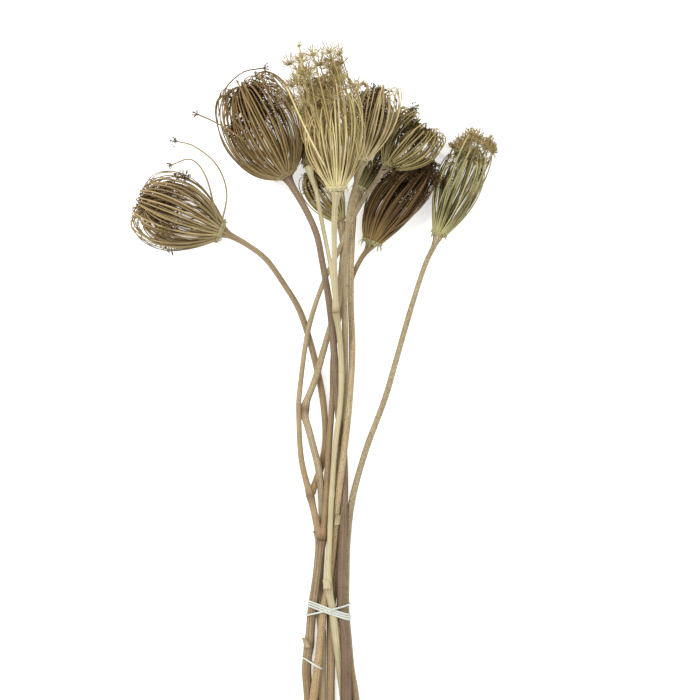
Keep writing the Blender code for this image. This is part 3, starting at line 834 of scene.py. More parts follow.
    def build_rays(self, lines: np.ndarray, depths: np.ndarray) -> bpy.types.Object:
        """Make the rays' mesh.

        Args:
            lines: Middle lines, shape (m, n, 3), those of the strays last.
            depths: How deep each ray stands inside, from 0 to 1.

        Returns:
            The piece.
        """
        draft = MeshDraft()
        share = np.linspace(0.0, 1.0, self.ray_steps + 1)
        thick = self.ray_radius + (self.tip_radius - self.ray_radius) * share ** 0.8
        thick = thick + 0.4 * np.exp(-share / 0.05)
        sizes = self.draws.uniform(0.7, 1.15, len(lines))
        if self.strays:
            sizes[-len(self.strays):] = self.stray_size
        chord = unit(lines[:, 6] - self.root - self.axis * 2.0)
        across = np.cross(self.axis, chord)
        across = np.where(np.linalg.norm(across, axis=1, keepdims=True) > 0.05, across, self.up)
        tones = self.draws.uniform(0.0, 1.0, len(lines))
        # The depth tint gives the rays deep inside the cage their painted shade in the straw
        # finish.
        draft.add_tubes(lines, thick[None, :] * sizes[:, None], self.ray_sides, across, tones,
                        flat=0.78, deep=np.clip(depths * 1.6, 0.0, 1.0))
        return draft.build(self.name + "_rays", self.straw.material(self.name + "_straw"))

    def add_umbellets(self, draft: MeshDraft, lines: np.ndarray, sizes: np.ndarray,
                      count: int, opening: float, inward: float = 0.0) -> None:
        """Add an umbellet at each ray's tip: pedicels that fan out, each with its fruit.

        Args:
            draft: Mesh that grows.
            lines: Rays' middle lines, shape (m, n, 3).
            sizes: Pedicel length of each umbellet.
            count: Pedicels of each.
            opening: Widest angle from the ray, in radians.
            inward: How far the umbellets turn to the middle of the cage, 0 not and 1 fully.
        """
        m = len(lines)
        tips = lines[:, -1]
        ahead = unit(lines[:, -1] - lines[:, -3])
        middle = self.root + self.axis * self.length * 0.5
        ahead = unit(ahead * (1.0 - inward) + unit(middle - tips) * inward)
        across = any_across(ahead)
        up = np.cross(ahead, across)
        order = np.arange(count)
        lift = 1.0 - (order + 0.5) / count * (1.0 - math.cos(opening))
        lift = np.clip(lift[None] + self.draws.normal(0, 0.12, (m, count)), -0.6, 1.0)
        turn = order[None] * GOLDEN_TURN + self.draws.uniform(0, 6.28, (m, 1))
        flat = np.sqrt(1.0 - lift ** 2)
        ways = (lift[..., None] * ahead[:, None] + (flat * np.cos(turn))[..., None]
                * across[:, None] + (flat * np.sin(turn))[..., None] * up[:, None])
        reach = sizes[:, None] * self.draws.uniform(0.6, 1.15, (m, count))
        stops = np.array([0.0, 0.70, 0.78, 0.90, 1.0])
        straight = tips[:, None, None] + ways[:, :, None] * (reach[..., None] * stops)[..., None]
        bow = (stops ** 2 * 0.22)[None, None, :, None] * reach[..., None, None]
        line = straight + bow * ahead[:, None, None]
        fruit = self.fruit * self.draws.uniform(0.7, 1.2, (m, count, 1))
        radii = np.concatenate([np.full((m, count, 1), 0.16), np.full((m, count, 1), 0.18),
                                fruit * 0.9, fruit * 0.85, fruit * 0.2], axis=2)
        flat_line = line.reshape(m * count, len(stops), 3)
        tones = self.draws.uniform(0.0, 1.0, m * count)
        draft.add_tubes(flat_line, radii.reshape(m * count, -1), 4,
                        any_across(unit(flat_line[:, -1] - flat_line[:, 0])), tones)

    def add_threads(self, draft: MeshDraft, lines: np.ndarray, count: int, reach: float) -> None:
        """Add the hair-thin bractlets round each umbellet.

        Args:
            draft: Mesh that grows.
            lines: Rays' middle lines, shape (m, n, 3).
            count: Threads of each umbellet.
            reach: Their length.
        """
        m = len(lines)
        ahead = unit(lines[:, -1] - lines[:, -3])
        wild = unit(self.draws.normal(0.0, 1.0, (m, count, 3)) + 0.3 * ahead[:, None])
        long = reach * self.draws.uniform(0.5, 1.3, (m, count))
        stops = np.linspace(0.0, 1.0, 5)
        line = lines[:, None, None, -1] + wild[:, :, None] * (long[..., None] * stops)[..., None]
        hook = unit(self.draws.normal(0.0, 1.0, (m, count, 3)))
        line = line + hook[:, :, None] * (long[..., None] * stops ** 2 * 0.35)[..., None]
        flat_line = line.reshape(m * count, len(stops), 3)
        radii = np.array([0.16, 0.14, 0.12, 0.10, 0.06])
        draft.add_tubes(flat_line, radii, 3, any_across(unit(flat_line[:, 1] - flat_line[:, 0])),
                        self.draws.uniform(0.0, 1.0, m * count))

    def build_umbellets(self, lines: np.ndarray, depths: np.ndarray) -> bpy.types.Object:
        """Make the mesh of all umbellets.

        Args:
            lines: Middle lines of the rays, shape (m, n, 3).
            depths: How deep each ray stands inside, from 0 to 1.

        Returns:
            The piece.
        """
        draft = MeshDraft()
        sizes = self.umbellet * self.draws.uniform(0.7, 1.15, len(lines))
        count = len(lines) - len(self.strays)
        inner = np.flatnonzero(depths[:count] > (0.9 if self.crown is Crown.BRUSHY else 0.2))
        outer = np.setdiff1d(np.arange(count), inner)
        if self.crown is Crown.BRUSHY:
            self.add_umbellets(draft, lines[inner], sizes[inner] * 1.3, self.pedicels + 22, 1.7)
            self.add_threads(draft, lines[inner], 24, self.umbellet * 1.6)
        else:
            self.add_umbellets(draft, lines[inner], sizes[inner] * 1.35, self.pedicels + 10, 1.9)
            self.add_threads(draft, lines[inner], 8, self.umbellet * 1.3)
        self.add_umbellets(draft, lines[outer], sizes[outer] * 0.4, 6, 1.2, inward=0.75)
        if self.strays:
            self.add_umbellets(draft, lines[count:], sizes[count:] * 0.75, 12, 1.6)
            self.add_threads(draft, lines[count:], 12, 13.0)
        return draft.build(self.name + "_umbellets", self.seeds.material(self.name + "_seeds"))

    def build_disc(self) -> bpy.types.Object:
        """Make the swollen disc with its scalloped collar and the withered bracts under it.

        Returns:
            The piece.
        """
        draft = MeshDraft()
        columns = 48
        turn = 2 * math.pi * np.arange(columns) / columns
        rim = ((-0.5, 0.58, 0.0), (0.2, 0.70, 0.02), (0.8, 0.84, 0.04), (1.4, 0.96, 0.08),
               (2.0, 1.03, 0.10), (2.7, 1.02, 0.10), (3.4, 0.90, 0.06), (4.3, 0.68, 0.03),
               (4.8, 0.38, 0.0), (4.9, 0.04, 0.0))
        rows = []
        for height, share, scallop in rim:
            reach = self.disc * share * (1.0 + scallop * np.cos(turn * 12 + self.seed))
            rows.append(self.root + height * self.axis + np.outer(np.cos(turn) * reach, self.side)
                        + np.outer(np.sin(turn) * reach, self.up))
        draft.add_grid(np.array(rows), 0.75, wrap=True)
        bracts = self.bracts
        turn = 2 * math.pi * (np.arange(bracts) + self.draws.uniform(0, 0.7, bracts)) / bracts
        out = np.outer(np.cos(turn), self.side) + np.outer(np.sin(turn), self.up)
        stops = np.linspace(0.0, 1.0, 6)
        long = self.draws.uniform(0.5, 1.15, bracts) * self.bract_length
        away = np.sin(stops * 2.0)[None] * long[:, None] * 0.55
        back = (stops ** 1.4)[None] * long[:, None]
        line = (self.root + self.axis * 1.6
                + out[:, None] * (self.disc * 0.86 + away)[..., None]
                - self.axis * back[..., None])
        radii = np.array([0.75, 0.9, 0.8, 0.6, 0.36, 0.12])
        draft.add_tubes(line, radii, 4, np.cross(self.axis, out),
                        self.draws.uniform(0.2, 0.9, bracts), flat=0.35)
        return draft.build(self.name + "_disc", self.collar.material(self.name + "_collar"))

    def build(self) -> None:
        """Make the umbel's pieces in place of its plain solid."""
        lines, depths = self.ray_lines()
        if self.strays:
            strays = self.stray_lines()
            lines = np.concatenate([lines, strays])
            depths = np.concatenate([depths, np.zeros(len(strays))])
        pieces = [self.build_rays(lines, depths), self.build_umbellets(lines, depths),
                  self.build_disc()]
        for piece in pieces:
            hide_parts(self.name)


# The stems


@dataclass
class Stem:
    """A cut stem with its branches, node swellings and bits of papery leaf sheath.

    shoots are runs of points (x, y, z, radius), the first one down to the cut end. nodes are
    (x, y, z, radius) and sheaths (x, y, z, radius, length, direction in degrees).
    """

    name: str
    seed: int
    finish: StemFinish
    shoots: list[list[StemPoint]]
    nodes: list[StemPoint] = field(default_factory=list)
    sheaths: list[tuple[float, ...]] = field(default_factory=list)
    tones: tuple[float, ...] = (0.3, 0.3, 0.3, 0.3)
    step: float = 3.0
    sides: int = 27
    rib_depth: float = 0.07

    def shoot(self, points: list[StemPoint]) -> tuple[np.ndarray, np.ndarray]:
        """Return the fine middle line and radii of a shoot."""
        smooth = smooth_through(points, steps_between(points, self.step))
        return smooth[:, :3], smooth[:, 3]

    def trunk(self) -> tuple[np.ndarray, np.ndarray]:
        """Return the middle line and radii of the shoot that ends in the cut."""
        return self.shoot(self.shoots[0])

    def build(self) -> bpy.types.Object:
        """Make the stem's mesh in place of its plain solid.

        Returns:
            The piece.
        """
        draft = MeshDraft()
        ribs = 1.0 + self.rib_depth * np.cos(2 * math.pi * RIBS * np.arange(self.sides)
                                             / self.sides)
        for number, points in enumerate(self.shoots):
            line, radii = self.shoot(points)
            swell = np.zeros(len(line))
            knot = np.zeros(len(line))
            for x, y, z, size in self.nodes:
                near = np.linalg.norm(line - (x, y, z), axis=1)
                swell = np.maximum(swell, (size - radii) * np.exp(-(near / 6.0) ** 2))
                knot = np.maximum(knot, np.exp(-(near / 3.5) ** 2))
            rough = 1.0 + 0.02 * np.sin(np.arange(len(line)) * 0.35 + self.seed + number)
            draft.add_tubes(line[None], ((radii + swell) * rough)[None], self.sides,
                            np.array([[0.0, 0.0, 1.0]]), np.array([self.tones[number]]),
                            ribs=ribs,
                            deep=knot[None])
        for bit in self.sheaths:
            self.add_sheath(draft, *bit)
        piece = draft.build(self.name + "_ribbed", self.finish.material(self.name + "_skin"))
        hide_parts(self.name)
        return piece

    def add_sheath(self, draft: MeshDraft, x: float, y: float, z: float, radius: float,
                   long: float, towards: float) -> None:
        """Add a bit of leaf sheath: a curved papery blade that clasps its node.

        Args:
            draft: Mesh that grows.
            x: Node's place.
            y: Node's place.
            z: Node's place.
            radius: Node's radius.
            long: How far the blade reaches up the stem.
            towards: The side that it stands on, in degrees.
        """
        rows, columns = 9, 11
        share = np.linspace(0.0, 1.0, rows)[:, None]
        clasp = np.radians(towards) + np.radians(75.0 - 45.0 * share) * np.linspace(-1, 1, columns)
        away = radius + 0.1 + 2.0 * share ** 1.6 + 0.25 * np.cos(np.linspace(-9, 9, columns))
        surface = np.stack([x + np.cos(clasp) * away, y - 2.0 + long * share + 0.0 * clasp,
                            z + np.sin(clasp) * away], axis=-1)
        outward = np.stack([np.cos(clasp), 0.0 * clasp, np.sin(clasp)], axis=-1)
        inside = surface - outward * 0.35
        around = np.concatenate([surface, inside[:, ::-1]], axis=1)
        draft.add_grid(around, 1.0, wrap=True)
        for row in (around[:1], around[-1:]):
            flat = np.concatenate([row[:, :columns], row[:, :columns - 1:-1]])
            draft.add_grid(flat if row is around[-1:] else flat[::-1], 1.0)


# The ties


@dataclass
class Tie:
    """An elastic wound round the held stems in one or more strands.

    strands are (slant, offset along the stems, width, thickness, lift).
    """

    name: str
    held: list[Stem]
    middle: float
    strands: list[tuple[float, float, float, float, float]]
    finish: ElasticFinish = ElasticFinish()
    gap: float = 0.3
    sides: int = 12

    def loop(self, slant: float, offset: float, clear: float) -> np.ndarray:
        """Return the closed line of one strand, drawn tight round the held stems.

        Args:
            slant: How far it rises towards the left.
            offset: How far it lies from the middle of the tie.
            clear: Distance of its middle from the stems.

        Returns:
            Evenly spaced points, shape (n, 3).
        """
        trunks = [stem.trunk() for stem in self.held]
        angles = np.linspace(0.0, 2 * math.pi, 181)[:-1]
        outward = np.stack([np.cos(angles), 0.0 * angles, np.sin(angles)], axis=1)
        heights = np.full(len(angles), self.middle + offset)
        for _ in range(4):
            candidates = []
            for line, radii in trunks:
                order = np.argsort(line[:, 1])
                x, z, radius = (np.interp(heights, line[order, 1], values[order])
                                for values in (line[:, 0], line[:, 2], radii))
                centre = np.stack([x, heights, z], axis=1)
                candidates.append(centre + outward * (radius + clear)[:, None])
            stack = np.array(candidates)
            best = np.argmax(np.sum(stack * outward[None], axis=2), axis=0)
            ring = stack[best, np.arange(len(angles))]
            middle = (ring[:, 0].max() + ring[:, 0].min()) / 2
            half = (ring[:, 0].max() - ring[:, 0].min()) / 2
            heights = self.middle + offset - slant * (ring[:, 0] - middle) / half
        ring[:, 1] = heights
        ring = np.vstack([ring, ring[:1]])
        reach = np.concatenate([[0.0], np.cumsum(np.linalg.norm(np.diff(ring, axis=0), axis=1))])
        even = np.linspace(0.0, reach[-1], 161)[:-1]
        return np.stack([np.interp(even, reach, ring[:, k]) for k in range(3)], axis=1)

    def build(self) -> bpy.types.Object:
        """Make the tie's mesh in place of its plain solid.

        Returns:
            The piece.
        """
        draft = MeshDraft()
        for number, (slant, offset, width, thick, lift) in enumerate(self.strands):
            line = self.loop(slant, offset, self.gap + thick / 2 + lift)
            ahead = unit(np.roll(line, -1, axis=0) - np.roll(line, 1, axis=0))
            middle = line.mean(axis=0)
            outward = line - middle
            outward[:, 1] = 0.0
            across = unit(np.cross(ahead, unit(outward)))
            draft.add_tubes(line[None], np.full(len(line), width / 2), self.sides,
                            across[None], np.array([number / len(self.strands)]),
                            flat=thick / width, closed=True)
        piece = draft.build(self.name + "_elastic", self.finish.material(self.name + "_rubber"))
        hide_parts(self.name)
        return piece


# Floor, light and camera


@dataclass
class Studio:
    """A plain pale floor, soft light from all round, and the camera that looks straight down."""

    floor_size: float = 6.0
    floor_colour: Colour = (0.93, 0.94, 0.94)
    floor_glow: float = 0.45
    camera_place: Point = (0.02866, 0.04597, 2.40)
    lens: float = 151.7
    sky: float = 0.8
    key: float = 40.0

    def build(self) -> None:
        """Make floor, lights and camera."""
        self.build_floor()
        self.build_lights()
        self.build_camera()

    def build_floor(self) -> None:
        """Make the floor, which isn't part of the object."""
        half = self.floor_size / 2
        mesh = bpy.data.meshes.new("floor")
        corners = [(-half, -half, 0), (half, -half, 0), (half, half, 0), (-half, half, 0)]
        mesh.from_pydata(corners, [], [(0, 1, 2, 3)])
        material, shader, body = start_material("floor_paper")
        mottle = Groups.place(shader, "dry_mottle", Blotch_Size=300.0, Speck_Size=2.0,
                              Speck_Share=0.0)
        shade = tuple(value * 0.995 for value in self.floor_colour)
        shader.feed(body.inputs["Base Color"],
                    shader.mix(mottle.outputs["Blotch"], self.floor_colour, shade))
        body.inputs["Roughness"].default_value = 0.9
        body.inputs["Specular IOR Level"].default_value = 0.2
        body.inputs["Emission Color"].default_value = (1.0, 1.0, 1.0, 1.0)
        body.inputs["Emission Strength"].default_value = self.floor_glow
        mesh.materials.append(material)
        floor = bpy.data.objects.new("floor", mesh)
        bpy.context.scene.collection.objects.link(floor)

    def build_lights(self) -> None:
        """Make an even white sky and two large soft lamps."""
        world = bpy.data.worlds.new("studio")
        world.use_nodes = True
        sky = world.node_tree.nodes["Background"]
        sky.inputs["Color"].default_value = (1.0, 1.0, 1.0, 1.0)
        sky.inputs["Strength"].default_value = self.sky
        bpy.context.scene.world = world
        for name, place, size, power in (("key", (-0.9, 0.9, 1.9), 1.2, self.key),
                                         ("fill", (1.2, 0.1, 1.8), 1.6, self.key * 0.3)):
            lamp = bpy.data.lights.new(name, "AREA")
            lamp.size = size
            lamp.energy = power
            holder = bpy.data.objects.new(name, lamp)
            holder.location = place
            aim = Vector((0.0, 0.05, 0.0)) - Vector(place)
            holder.rotation_euler = aim.to_track_quat("-Z", "Y").to_euler()
            bpy.context.scene.collection.objects.link(holder)

    def build_camera(self) -> None:
        """Make the camera, which looks straight down on the bunch."""
        camera = bpy.data.cameras.new("camera")
        camera.lens = self.lens
        camera.sensor_width = 36.0
        camera.clip_end = 20.0
        holder = bpy.data.objects.new("camera", camera)
        holder.location = self.camera_place
        bpy.context.scene.collection.objects.link(holder)
        bpy.context.scene.camera = holder


# Finishes of this bunch

STRAW = {
    "left": StrawFinish((0.44, 0.36, 0.19), (0.50, 0.39, 0.20), (0.13, 0.080, 0.028),
                        (0.34, 0.235, 0.11)),
    "upper_left": StrawFinish((0.46, 0.36, 0.17), (0.40, 0.285, 0.12), (0.10, 0.055, 0.018),
                              (0.20, 0.115, 0.045)),
    "back_left": StrawFinish((0.20, 0.16, 0.06), (0.17, 0.125, 0.042), (0.035, 0.022, 0.006),
                             (0.15, 0.10, 0.035)),
    "front": StrawFinish((0.74, 0.66, 0.37), (0.76, 0.66, 0.36), (0.27, 0.19, 0.065),
                         (0.62, 0.51, 0.24)),
    "middle": StrawFinish((0.70, 0.61, 0.34), (0.68, 0.56, 0.31), (0.19, 0.13, 0.045),
                          (0.54, 0.42, 0.22)),
    "fan": StrawFinish((0.46, 0.40, 0.19), (0.50, 0.41, 0.18), (0.11, 0.075, 0.022),
                       (0.38, 0.28, 0.12)),
    "hidden": StrawFinish((0.36, 0.32, 0.14), (0.24, 0.20, 0.075), (0.05, 0.035, 0.010),
                          (0.18, 0.13, 0.05)),
    "almond": StrawFinish((0.36, 0.25, 0.095), (0.25, 0.155, 0.058), (0.050, 0.024, 0.007),
                          (0.15, 0.085, 0.03)),
    "right": StrawFinish((0.52, 0.50, 0.24), (0.60, 0.54, 0.28), (0.12, 0.10, 0.033),
                         (0.54, 0.47, 0.23)),
    "low": StrawFinish((0.48, 0.42, 0.19), (0.54, 0.45, 0.21), (0.17, 0.12, 0.038),
                       (0.42, 0.32, 0.14)),
}
COLLAR = {
    "pale": StrawFinish((0.66, 0.60, 0.37), (0.62, 0.56, 0.34), (0.26, 0.20, 0.09),
                        (0.56, 0.49, 0.28)),
    "green": StrawFinish((0.47, 0.44, 0.24), (0.45, 0.41, 0.21), (0.14, 0.11, 0.045),
                         (0.38, 0.33, 0.17)),
    "tan": StrawFinish((0.40, 0.32, 0.17), (0.42, 0.33, 0.17), (0.12, 0.075, 0.030),
                       (0.34, 0.25, 0.12)),
    "olive": StrawFinish((0.22, 0.18, 0.08), (0.24, 0.19, 0.08), (0.05, 0.035, 0.012),
                         (0.20, 0.15, 0.06)),
}
BROWN_SEEDS = SeedFinish((0.28, 0.19, 0.085), (0.20, 0.125, 0.05), (0.055, 0.030, 0.010))
DARK_SEEDS = SeedFinish((0.16, 0.095, 0.036), (0.115, 0.065, 0.024), (0.030, 0.016, 0.005))
OLIVE_SEEDS = SeedFinish((0.27, 0.21, 0.085), (0.19, 0.14, 0.05), (0.045, 0.030, 0.009))
OCHRE_SEEDS = SeedFinish((0.66, 0.56, 0.28), (0.50, 0.37, 0.15), (0.17, 0.105, 0.032))


def all_umbels() -> list[Umbel]:
    """Return the ten umbels of the bunch."""
    return [
        Umbel("umbel_left", 1, (-71.6, 133.2, 30), (-140.4, 159.8, 30), 67, 65, 9.5, 58, 125,
              STRAW["left"], BROWN_SEEDS, COLLAR["green"], bend=1.8, rays=120, hooks=0.25,
              strays=[[(-68, 163, 44), (-76, 186, 48), (-94, 201, 46), (-108, 205, 44)],
                      [(-77, 148, 46), (-84, 176, 58), (-96, 190, 54), (-112, 186, 48)]]),
        Umbel("umbel_upper_left", 2, (-20.1, 177.2, 34), (-61.5, 252.5, 33), 71, 69, 9.5, 80, 115,
              STRAW["upper_left"], DARK_SEEDS, COLLAR["tan"], bend=1.35, rays=120, hooks=0.08,
              lean=(6.0, 0.0), bract_length=2.5,
              strays=[[(-36, 188, 46), (-58, 208, 57), (-78, 220, 56), (-91, 226, 52)],
                      [(-48, 205, 58), (-71, 237, 56), (-57, 258, 54), (-38, 263, 52)]]),
        Umbel("umbel_back_left", 3, (-2.5, 186.0, 34), (10, 259, 13), 29, 25, 6.5, 40, 90,
              STRAW["back_left"], OLIVE_SEEDS, COLLAR["olive"], bend=2.0, rays=60, umbellet=5.0,
              pedicels=12),
        Umbel("umbel_front", 4, (20.2, 163.4, 95), (17.0, 273.4, 104), 52, 46, 8.0, 38, 85,
              STRAW["front"], OCHRE_SEEDS, COLLAR["pale"], bend=2.2, rays=104,
              crown=Crown.BRUSHY, crown_reach=1.0, crown_depth=0.5, crown_lean=-13.0,
              crown_share=0.72, crown_spread=1.15, cage_reach=0.92, evenness=0.5, umbellet=7.5,
              fruit=0.28, lean=(-6.0, 0.0),
              bracts=10,
              strays=[[(6, 190, 113), (-6, 214, 115), (-19, 243, 112)],
                      [(9, 204, 110), (-4, 242, 113), (-9, 274, 110)],
                      [(12, 200, 108), (-2, 238, 112), (-7, 265, 111)],
                      [(8, 198, 106), (-7, 236, 108), (-11, 256, 110)]]),
        Umbel("umbel_middle", 5, (40.7, 188.7, 66), (54.1, 251.7, 70), 44, 34, 6.5, 60, 125,
              STRAW["middle"], BROWN_SEEDS, COLLAR["pale"], bend=2.2, rays=84, umbellet=5.0,
              pedicels=14, hooks=0.25, evenness=0.8),
        Umbel("umbel_fan", 6, (59.2, 184.8, 40), (93.5, 224.6, 43), 52, 32, 6.5, 72, 120,
              STRAW["fan"], OLIVE_SEEDS, COLLAR["green"], bend=2.4, rays=90, umbellet=5.0,
              pedicels=14, hooks=0.3, evenness=0.8),
        Umbel("umbel_hidden", 7, (38.5, 167.8, 14), (64, 231, 13), 34, 26, 6.5, 46, 90,
              STRAW["hidden"], OLIVE_SEEDS, COLLAR["pale"], bend=2.0, rays=60, umbellet=4.5,
              pedicels=10),
        Umbel("umbel_almond", 8, (47.4, 124.0, 18), (76.8, 200.0, 19), 45, 40, 8.0, 50, 85,
              STRAW["almond"], DARK_SEEDS, COLLAR["green"], bend=1.3, rays=120,
              lean=(21.0, 0.0), bracts=12, bract_length=6.0,
              strays=[[(66, 136, 26), (86, 152, 25), (98, 170, 22), (99, 187, 20),
                       (96, 200, 18)]]),
        Umbel("umbel_right", 9, (101.4, 130.4, 20), (135.5, 213, 19), 42, 45, 6.5, 50, 60,
              STRAW["right"], OCHRE_SEEDS, COLLAR["green"], bend=2.4, rays=76,
              crown=Crown.BRUSHY, crown_reach=0.97, crown_depth=0.24, crown_share=0.68,
              cage_reach=0.97, evenness=0.7, umbellet=5.5, fruit=0.30),
        Umbel("umbel_low", 10, (23, 142, 14), (-2, 184, 14), 36, 26, 5.5, 54, 110,
              STRAW["low"], BROWN_SEEDS, COLLAR["tan"], bend=1.8, rays=46, umbellet=4.5,
              pedicels=10),
    ]


# The darker foot colours are partly the stems' own brown and partly painted shade between the
# packed stems near the cut ends.
SKIN = {
    "forked_left": StemFinish((0.27, 0.19, 0.10), (0.42, 0.34, 0.21), (0.10, 0.055, 0.025),
                              (0.33, 0.22, 0.11)),
    "forked_front": StemFinish((0.46, 0.40, 0.22), (0.60, 0.54, 0.33), (0.20, 0.13, 0.06),
                               (0.52, 0.45, 0.27), speck_share=0.25),
    "upper_left": StemFinish((0.20, 0.135, 0.085), (0.31, 0.23, 0.15), (0.07, 0.040, 0.022),
                             (0.15, 0.095, 0.055)),
    "middle": StemFinish((0.34, 0.26, 0.14), (0.50, 0.42, 0.26), (0.12, 0.07, 0.03),
                         (0.30, 0.20, 0.10)),
    "hidden": StemFinish((0.44, 0.34, 0.18), (0.56, 0.47, 0.29), (0.16, 0.085, 0.035),
                         (0.42, 0.28, 0.14), speck_share=0.5),
    "right": StemFinish((0.36, 0.30, 0.17), (0.50, 0.44, 0.28), (0.15, 0.09, 0.04),
                        (0.30, 0.22, 0.12), speck_share=0.55),
    "low": StemFinish((0.34, 0.26, 0.15), (0.50, 0.42, 0.26), (0.12, 0.07, 0.035),
                      (0.40, 0.31, 0.18)),
}


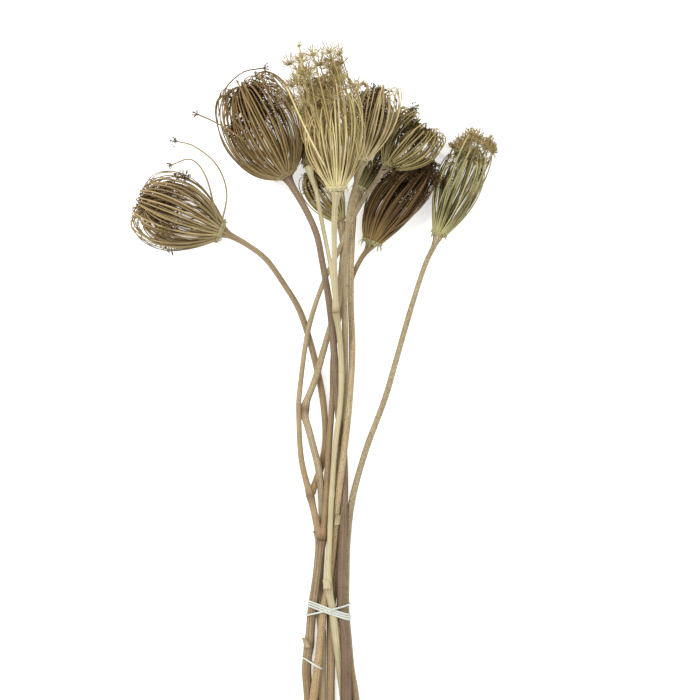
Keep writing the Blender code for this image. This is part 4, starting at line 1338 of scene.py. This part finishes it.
def all_stems() -> list[Stem]:
    """Return the seven cut stems."""
    return [
        Stem("stem_forked_left", 1, SKIN["forked_left"], [
            [(7, -115, 16, 3.6), (3.7, -143.7, 13, 3.5), (-0.4, -173.1, 9.5, 3.5),
             (-2.4, -196.7, 8.5, 3.5), (-4.9, -219.7, 6.0, 3.6), (-3.3, -245.8, 4.2, 3.7),
             (-2.9, -296.3, 3.1, 3.6)],
            [(-71.6, 133.2, 30, 5.0), (-66, 130.5, 30, 2.6), (-52, 122.8, 29.5, 2.15),
             (-36.6, 110.8, 28, 2.15), (-21.3, 89.2, 23, 2.2), (-11.6, 73.1, 19, 2.4),
             (-5.2, 56.2, 14.8, 2.4), (2.7, 27.1, 10, 2.5), (8.5, -2.1, 8.6, 2.5),
             (10.5, -32.9, 8.2, 2.5), (7.7, -53.2, 7.8, 2.6), (2.9, -67.7, 9.2, 2.6),
             (-0.9, -77.3, 14, 2.6)],
            [(59.2, 184.8, 40, 3.6), (53, 176, 38.5, 2.1), (42.4, 161, 36, 1.8),
             (32, 142.9, 29, 1.8), (20.7, 117.4, 22, 1.85), (7.8, 90, 19.5, 1.9),
             (-3.5, 53.7, 19, 1.95), (-10, 7.7, 18.2, 2.0), (-11, -14.1, 18.2, 2.05),
             (-8.8, -50.5, 17.2, 2.2), (-1.3, -81.2, 15.5, 2.5), (4.5, -106.3, 15.5, 2.8),
             (7, -115, 16, 3.2)],
            [(47.4, 124, 18, 4.6), (44, 118.5, 16.5, 2.4), (38.3, 110.4, 12.5, 1.9),
             (30.4, 92.7, 9.4, 1.9), (21.5, 64.3, 13, 2.0), (16.7, 31.9, 15.0, 2.1),
             (16, -2, 13.6, 2.2), (13.2, -42.4, 16.4, 2.4), (11.2, -82.8, 16.2, 2.5),
             (9, -105.4, 16.0, 2.7), (7, -115, 16, 3.0)],
        ], nodes=[(7, -114, 16, 4.5), (-0.9, -79, 14.6, 3.4), (-2.6, -200.5, 8.3, 4.2)],
           sheaths=[(-2.6, -200.5, 8.3, 4.2, 8.0, 150.0), (7, -114, 16, 4.5, 8.0, 200.0)],
           tones=(0.0, 0.15, 0.85, 0.0)),
        Stem("stem_forked_front", 2, SKIN["forked_front"], [
            [(19.2, 68.8, 42, 2.3), (22.8, 40, 31.5, 2.05), (22.8, -1.9, 25, 2.05),
             (18.1, -42.2, 21.6, 2.05), (15.3, -82.6, 20.4, 2.05), (13.9, -115, 19.4, 2.05),
             (12.6, -147.3, 20.0, 2.4), (16.3, -172.7, 14.5, 3.0), (19.3, -196.3, 12, 3.2),
             (22.3, -219.6, 6, 3.2), (25.5, -246, 3.6, 3.2), (28.8, -296.4, 2.75, 3.2)],
            [(-2.5, 186, 34, 4.0), (-0.5, 177, 35, 2.1), (3.7, 164.2, 36, 1.7),
             (7.2, 144.2, 36, 1.65), (12.4, 118.5, 37, 1.65), (16.9, 92.8, 41, 1.75),
             (19.2, 68.8, 42, 1.8)],
            [(20.2, 163.4, 95, 5.0), (19.2, 155, 91, 2.6), (18.1, 139, 81, 2.2),
             (18, 112, 64, 2.15), (18.6, 86.2, 50, 2.15), (19.2, 68.8, 42, 2.25)],
        ], nodes=[(19.2, 69.5, 42, 2.9), (12.9, -152, 19.2, 3.4)],
           sheaths=[(12.9, -152, 19.2, 3.4, 7.0, 120.0)]),
        Stem("stem_upper_left", 3, SKIN["upper_left"], [
            [(-20.1, 177.2, 34, 5.0), (-17, 171.5, 35, 3.0), (-5, 150.6, 40, 2.45),
             (3.8, 130.4, 41, 2.45), (8.2, 108.8, 39, 2.5), (13.4, 78.5, 34.5, 2.6),
             (16.7, 48, 28, 2.7), (20.3, -2, 18, 2.9), (24.7, -42.6, 12.5, 3.2),
             (25.3, -83.1, 12, 3.3), (23.5, -143.7, 12, 3.5), (23.6, -173, 11, 3.5),
             (26.6, -196.4, 13.4, 3.8), (27.2, -245.1, 11.4, 4.2), (28, -295.4, 11.2, 4.3)],
        ]),
        Stem("stem_middle", 4, SKIN["middle"], [
            [(40.7, 188.7, 66, 4.0), (38, 180, 64, 2.2), (34, 166.9, 60, 1.85),
             (29.6, 148.2, 52, 1.85), (26.6, 110.3, 42, 2.0), (26, 78.5, 36, 2.25),
             (26.4, 38.4, 24, 2.5), (25.1, -2.1, 12, 2.6), (21.6, -42.8, 6, 2.7),
             (20.4, -99.6, 5.4, 2.9), (18.6, -144.3, 5.2, 3.0), (15, -173.4, 5.6, 3.1),
             (15, -205.2, 5, 3.2), (14.6, -245.8, 4.3, 3.3), (15, -296.3, 2.8, 3.3)],
        ]),
        Stem("stem_hidden", 5, SKIN["hidden"], [
            [(38.5, 167.8, 14, 4.0), (35.8, 159, 14.5, 2.7), (33.6, 150.8, 14.5, 2.4),
             (31.4, 115.2, 15.5, 2.4), (31, 78.8, 16, 2.4), (32.2, 38.4, 19, 2.5),
             (30, -1.9, 21.4, 2.5), (25.6, -42.3, 19.4, 2.6), (20.3, -82.9, 16, 2.7),
             (17, -119.5, 11.5, 2.8), (13.4, -147.8, 11.6, 2.9), (8.8, -172.8, 12.0, 3.0),
             (6.5, -196.3, 12.2, 3.0), (4.1, -218.9, 13, 3.1), (0.8, -245.1, 11.5, 3.2),
             (-5.2, -295.4, 11.1, 3.2)],
        ], nodes=[(19, -101, 13.6, 3.0)],
           sheaths=[(19, -101, 13.6, 3.0, 8.0, 60.0)]),
        Stem("stem_right", 6, SKIN["right"], [
            [(101.4, 130.4, 20, 4.0), (98, 122, 20.5, 2.2), (90.3, 105.3, 21.5, 2.0),
             (79, 70.2, 23, 2.2), (67.7, 30.7, 23, 2.3), (58.2, -1.9, 21, 2.4),
             (43.3, -42.4, 15.5, 2.4), (32.2, -83, 10, 2.5), (28.2, -116.5, 5.2, 2.7),
             (26.9, -148.3, 4.3, 2.9), (27, -173.5, 4.3, 2.9), (28.8, -197.1, 4.6, 3.0),
             (31, -219.8, 4.3, 3.0), (34.9, -245.9, 4, 3.1), (40.2, -296.4, 2.65, 3.1)],
        ]),
        Stem("stem_low", 7, SKIN["low"], [
            [(23, 142, 14, 4.0), (23.8, 133, 15.5, 2.6), (24.6, 119.1, 17.5, 2.3),
             (22.7, 94.8, 21.5, 2.3), (20.3, 74.7, 22.5, 2.4), (13.6, 53.7, 21, 2.4),
             (2.9, 16.6, 17.5, 2.5), (-6.2, -9.3, 14.6, 2.6), (-2.5, -27.9, 15, 2.6),
             (4.7, -56.2, 16.8, 2.7), (7.6, -83.1, 10.8, 2.8), (7.3, -115.6, 8.4, 2.9),
             (5.7, -148.2, 6, 3.0), (5.9, -173.4, 5, 3.1), (8, -197, 4.8, 3.2),
             (7.6, -219.7, 5, 3.2), (7.4, -245.8, 4.4, 3.3), (6.8, -296.4, 2.8, 3.3)],
        ], nodes=[(-6.2, -9.3, 14.6, 3.6)],
           sheaths=[(-6.2, -9.3, 14.6, 3.6, 8.0, 290.0)]),

    ]


def all_ties(stems: list[Stem]) -> list[Tie]:
    """Return the two white elastic ties round the given stems."""
    pair = [stem for stem in stems if stem.name in ("stem_forked_left", "stem_hidden")]
    upper = [(6.0, -1.9, 1.7, 0.8, 0.0), (6.0, 0.0, 1.7, 0.8, 0.0), (6.0, 1.9, 1.7, 0.8, 0.0),
             (-4.5, 0.5, 1.5, 0.7, 0.75)]
    return [Tie("upper_tie", stems, -172.5, upper),
            Tie("lower_tie", pair, -215.0, [(4.5, 0.0, 1.5, 0.8, 0.0)])]


def main() -> None:
    """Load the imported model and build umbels, stems, ties and studio round it."""
    logging.basicConfig(level=logging.INFO, format="%(name)s: %(message)s")
    for old in list(bpy.data.objects):
        bpy.data.objects.remove(old, do_unlink=True)
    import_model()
    bpy.context.scene.view_settings.view_transform = "Standard"
    stems = all_stems()
    for umbel in all_umbels():
        umbel.build()
    for stem in stems:
        stem.build()
    for tie in all_ties(stems):
        tie.build()
    Studio().build()
    bpy.context.view_layer.update()


if __name__ == "__main__":
    main()
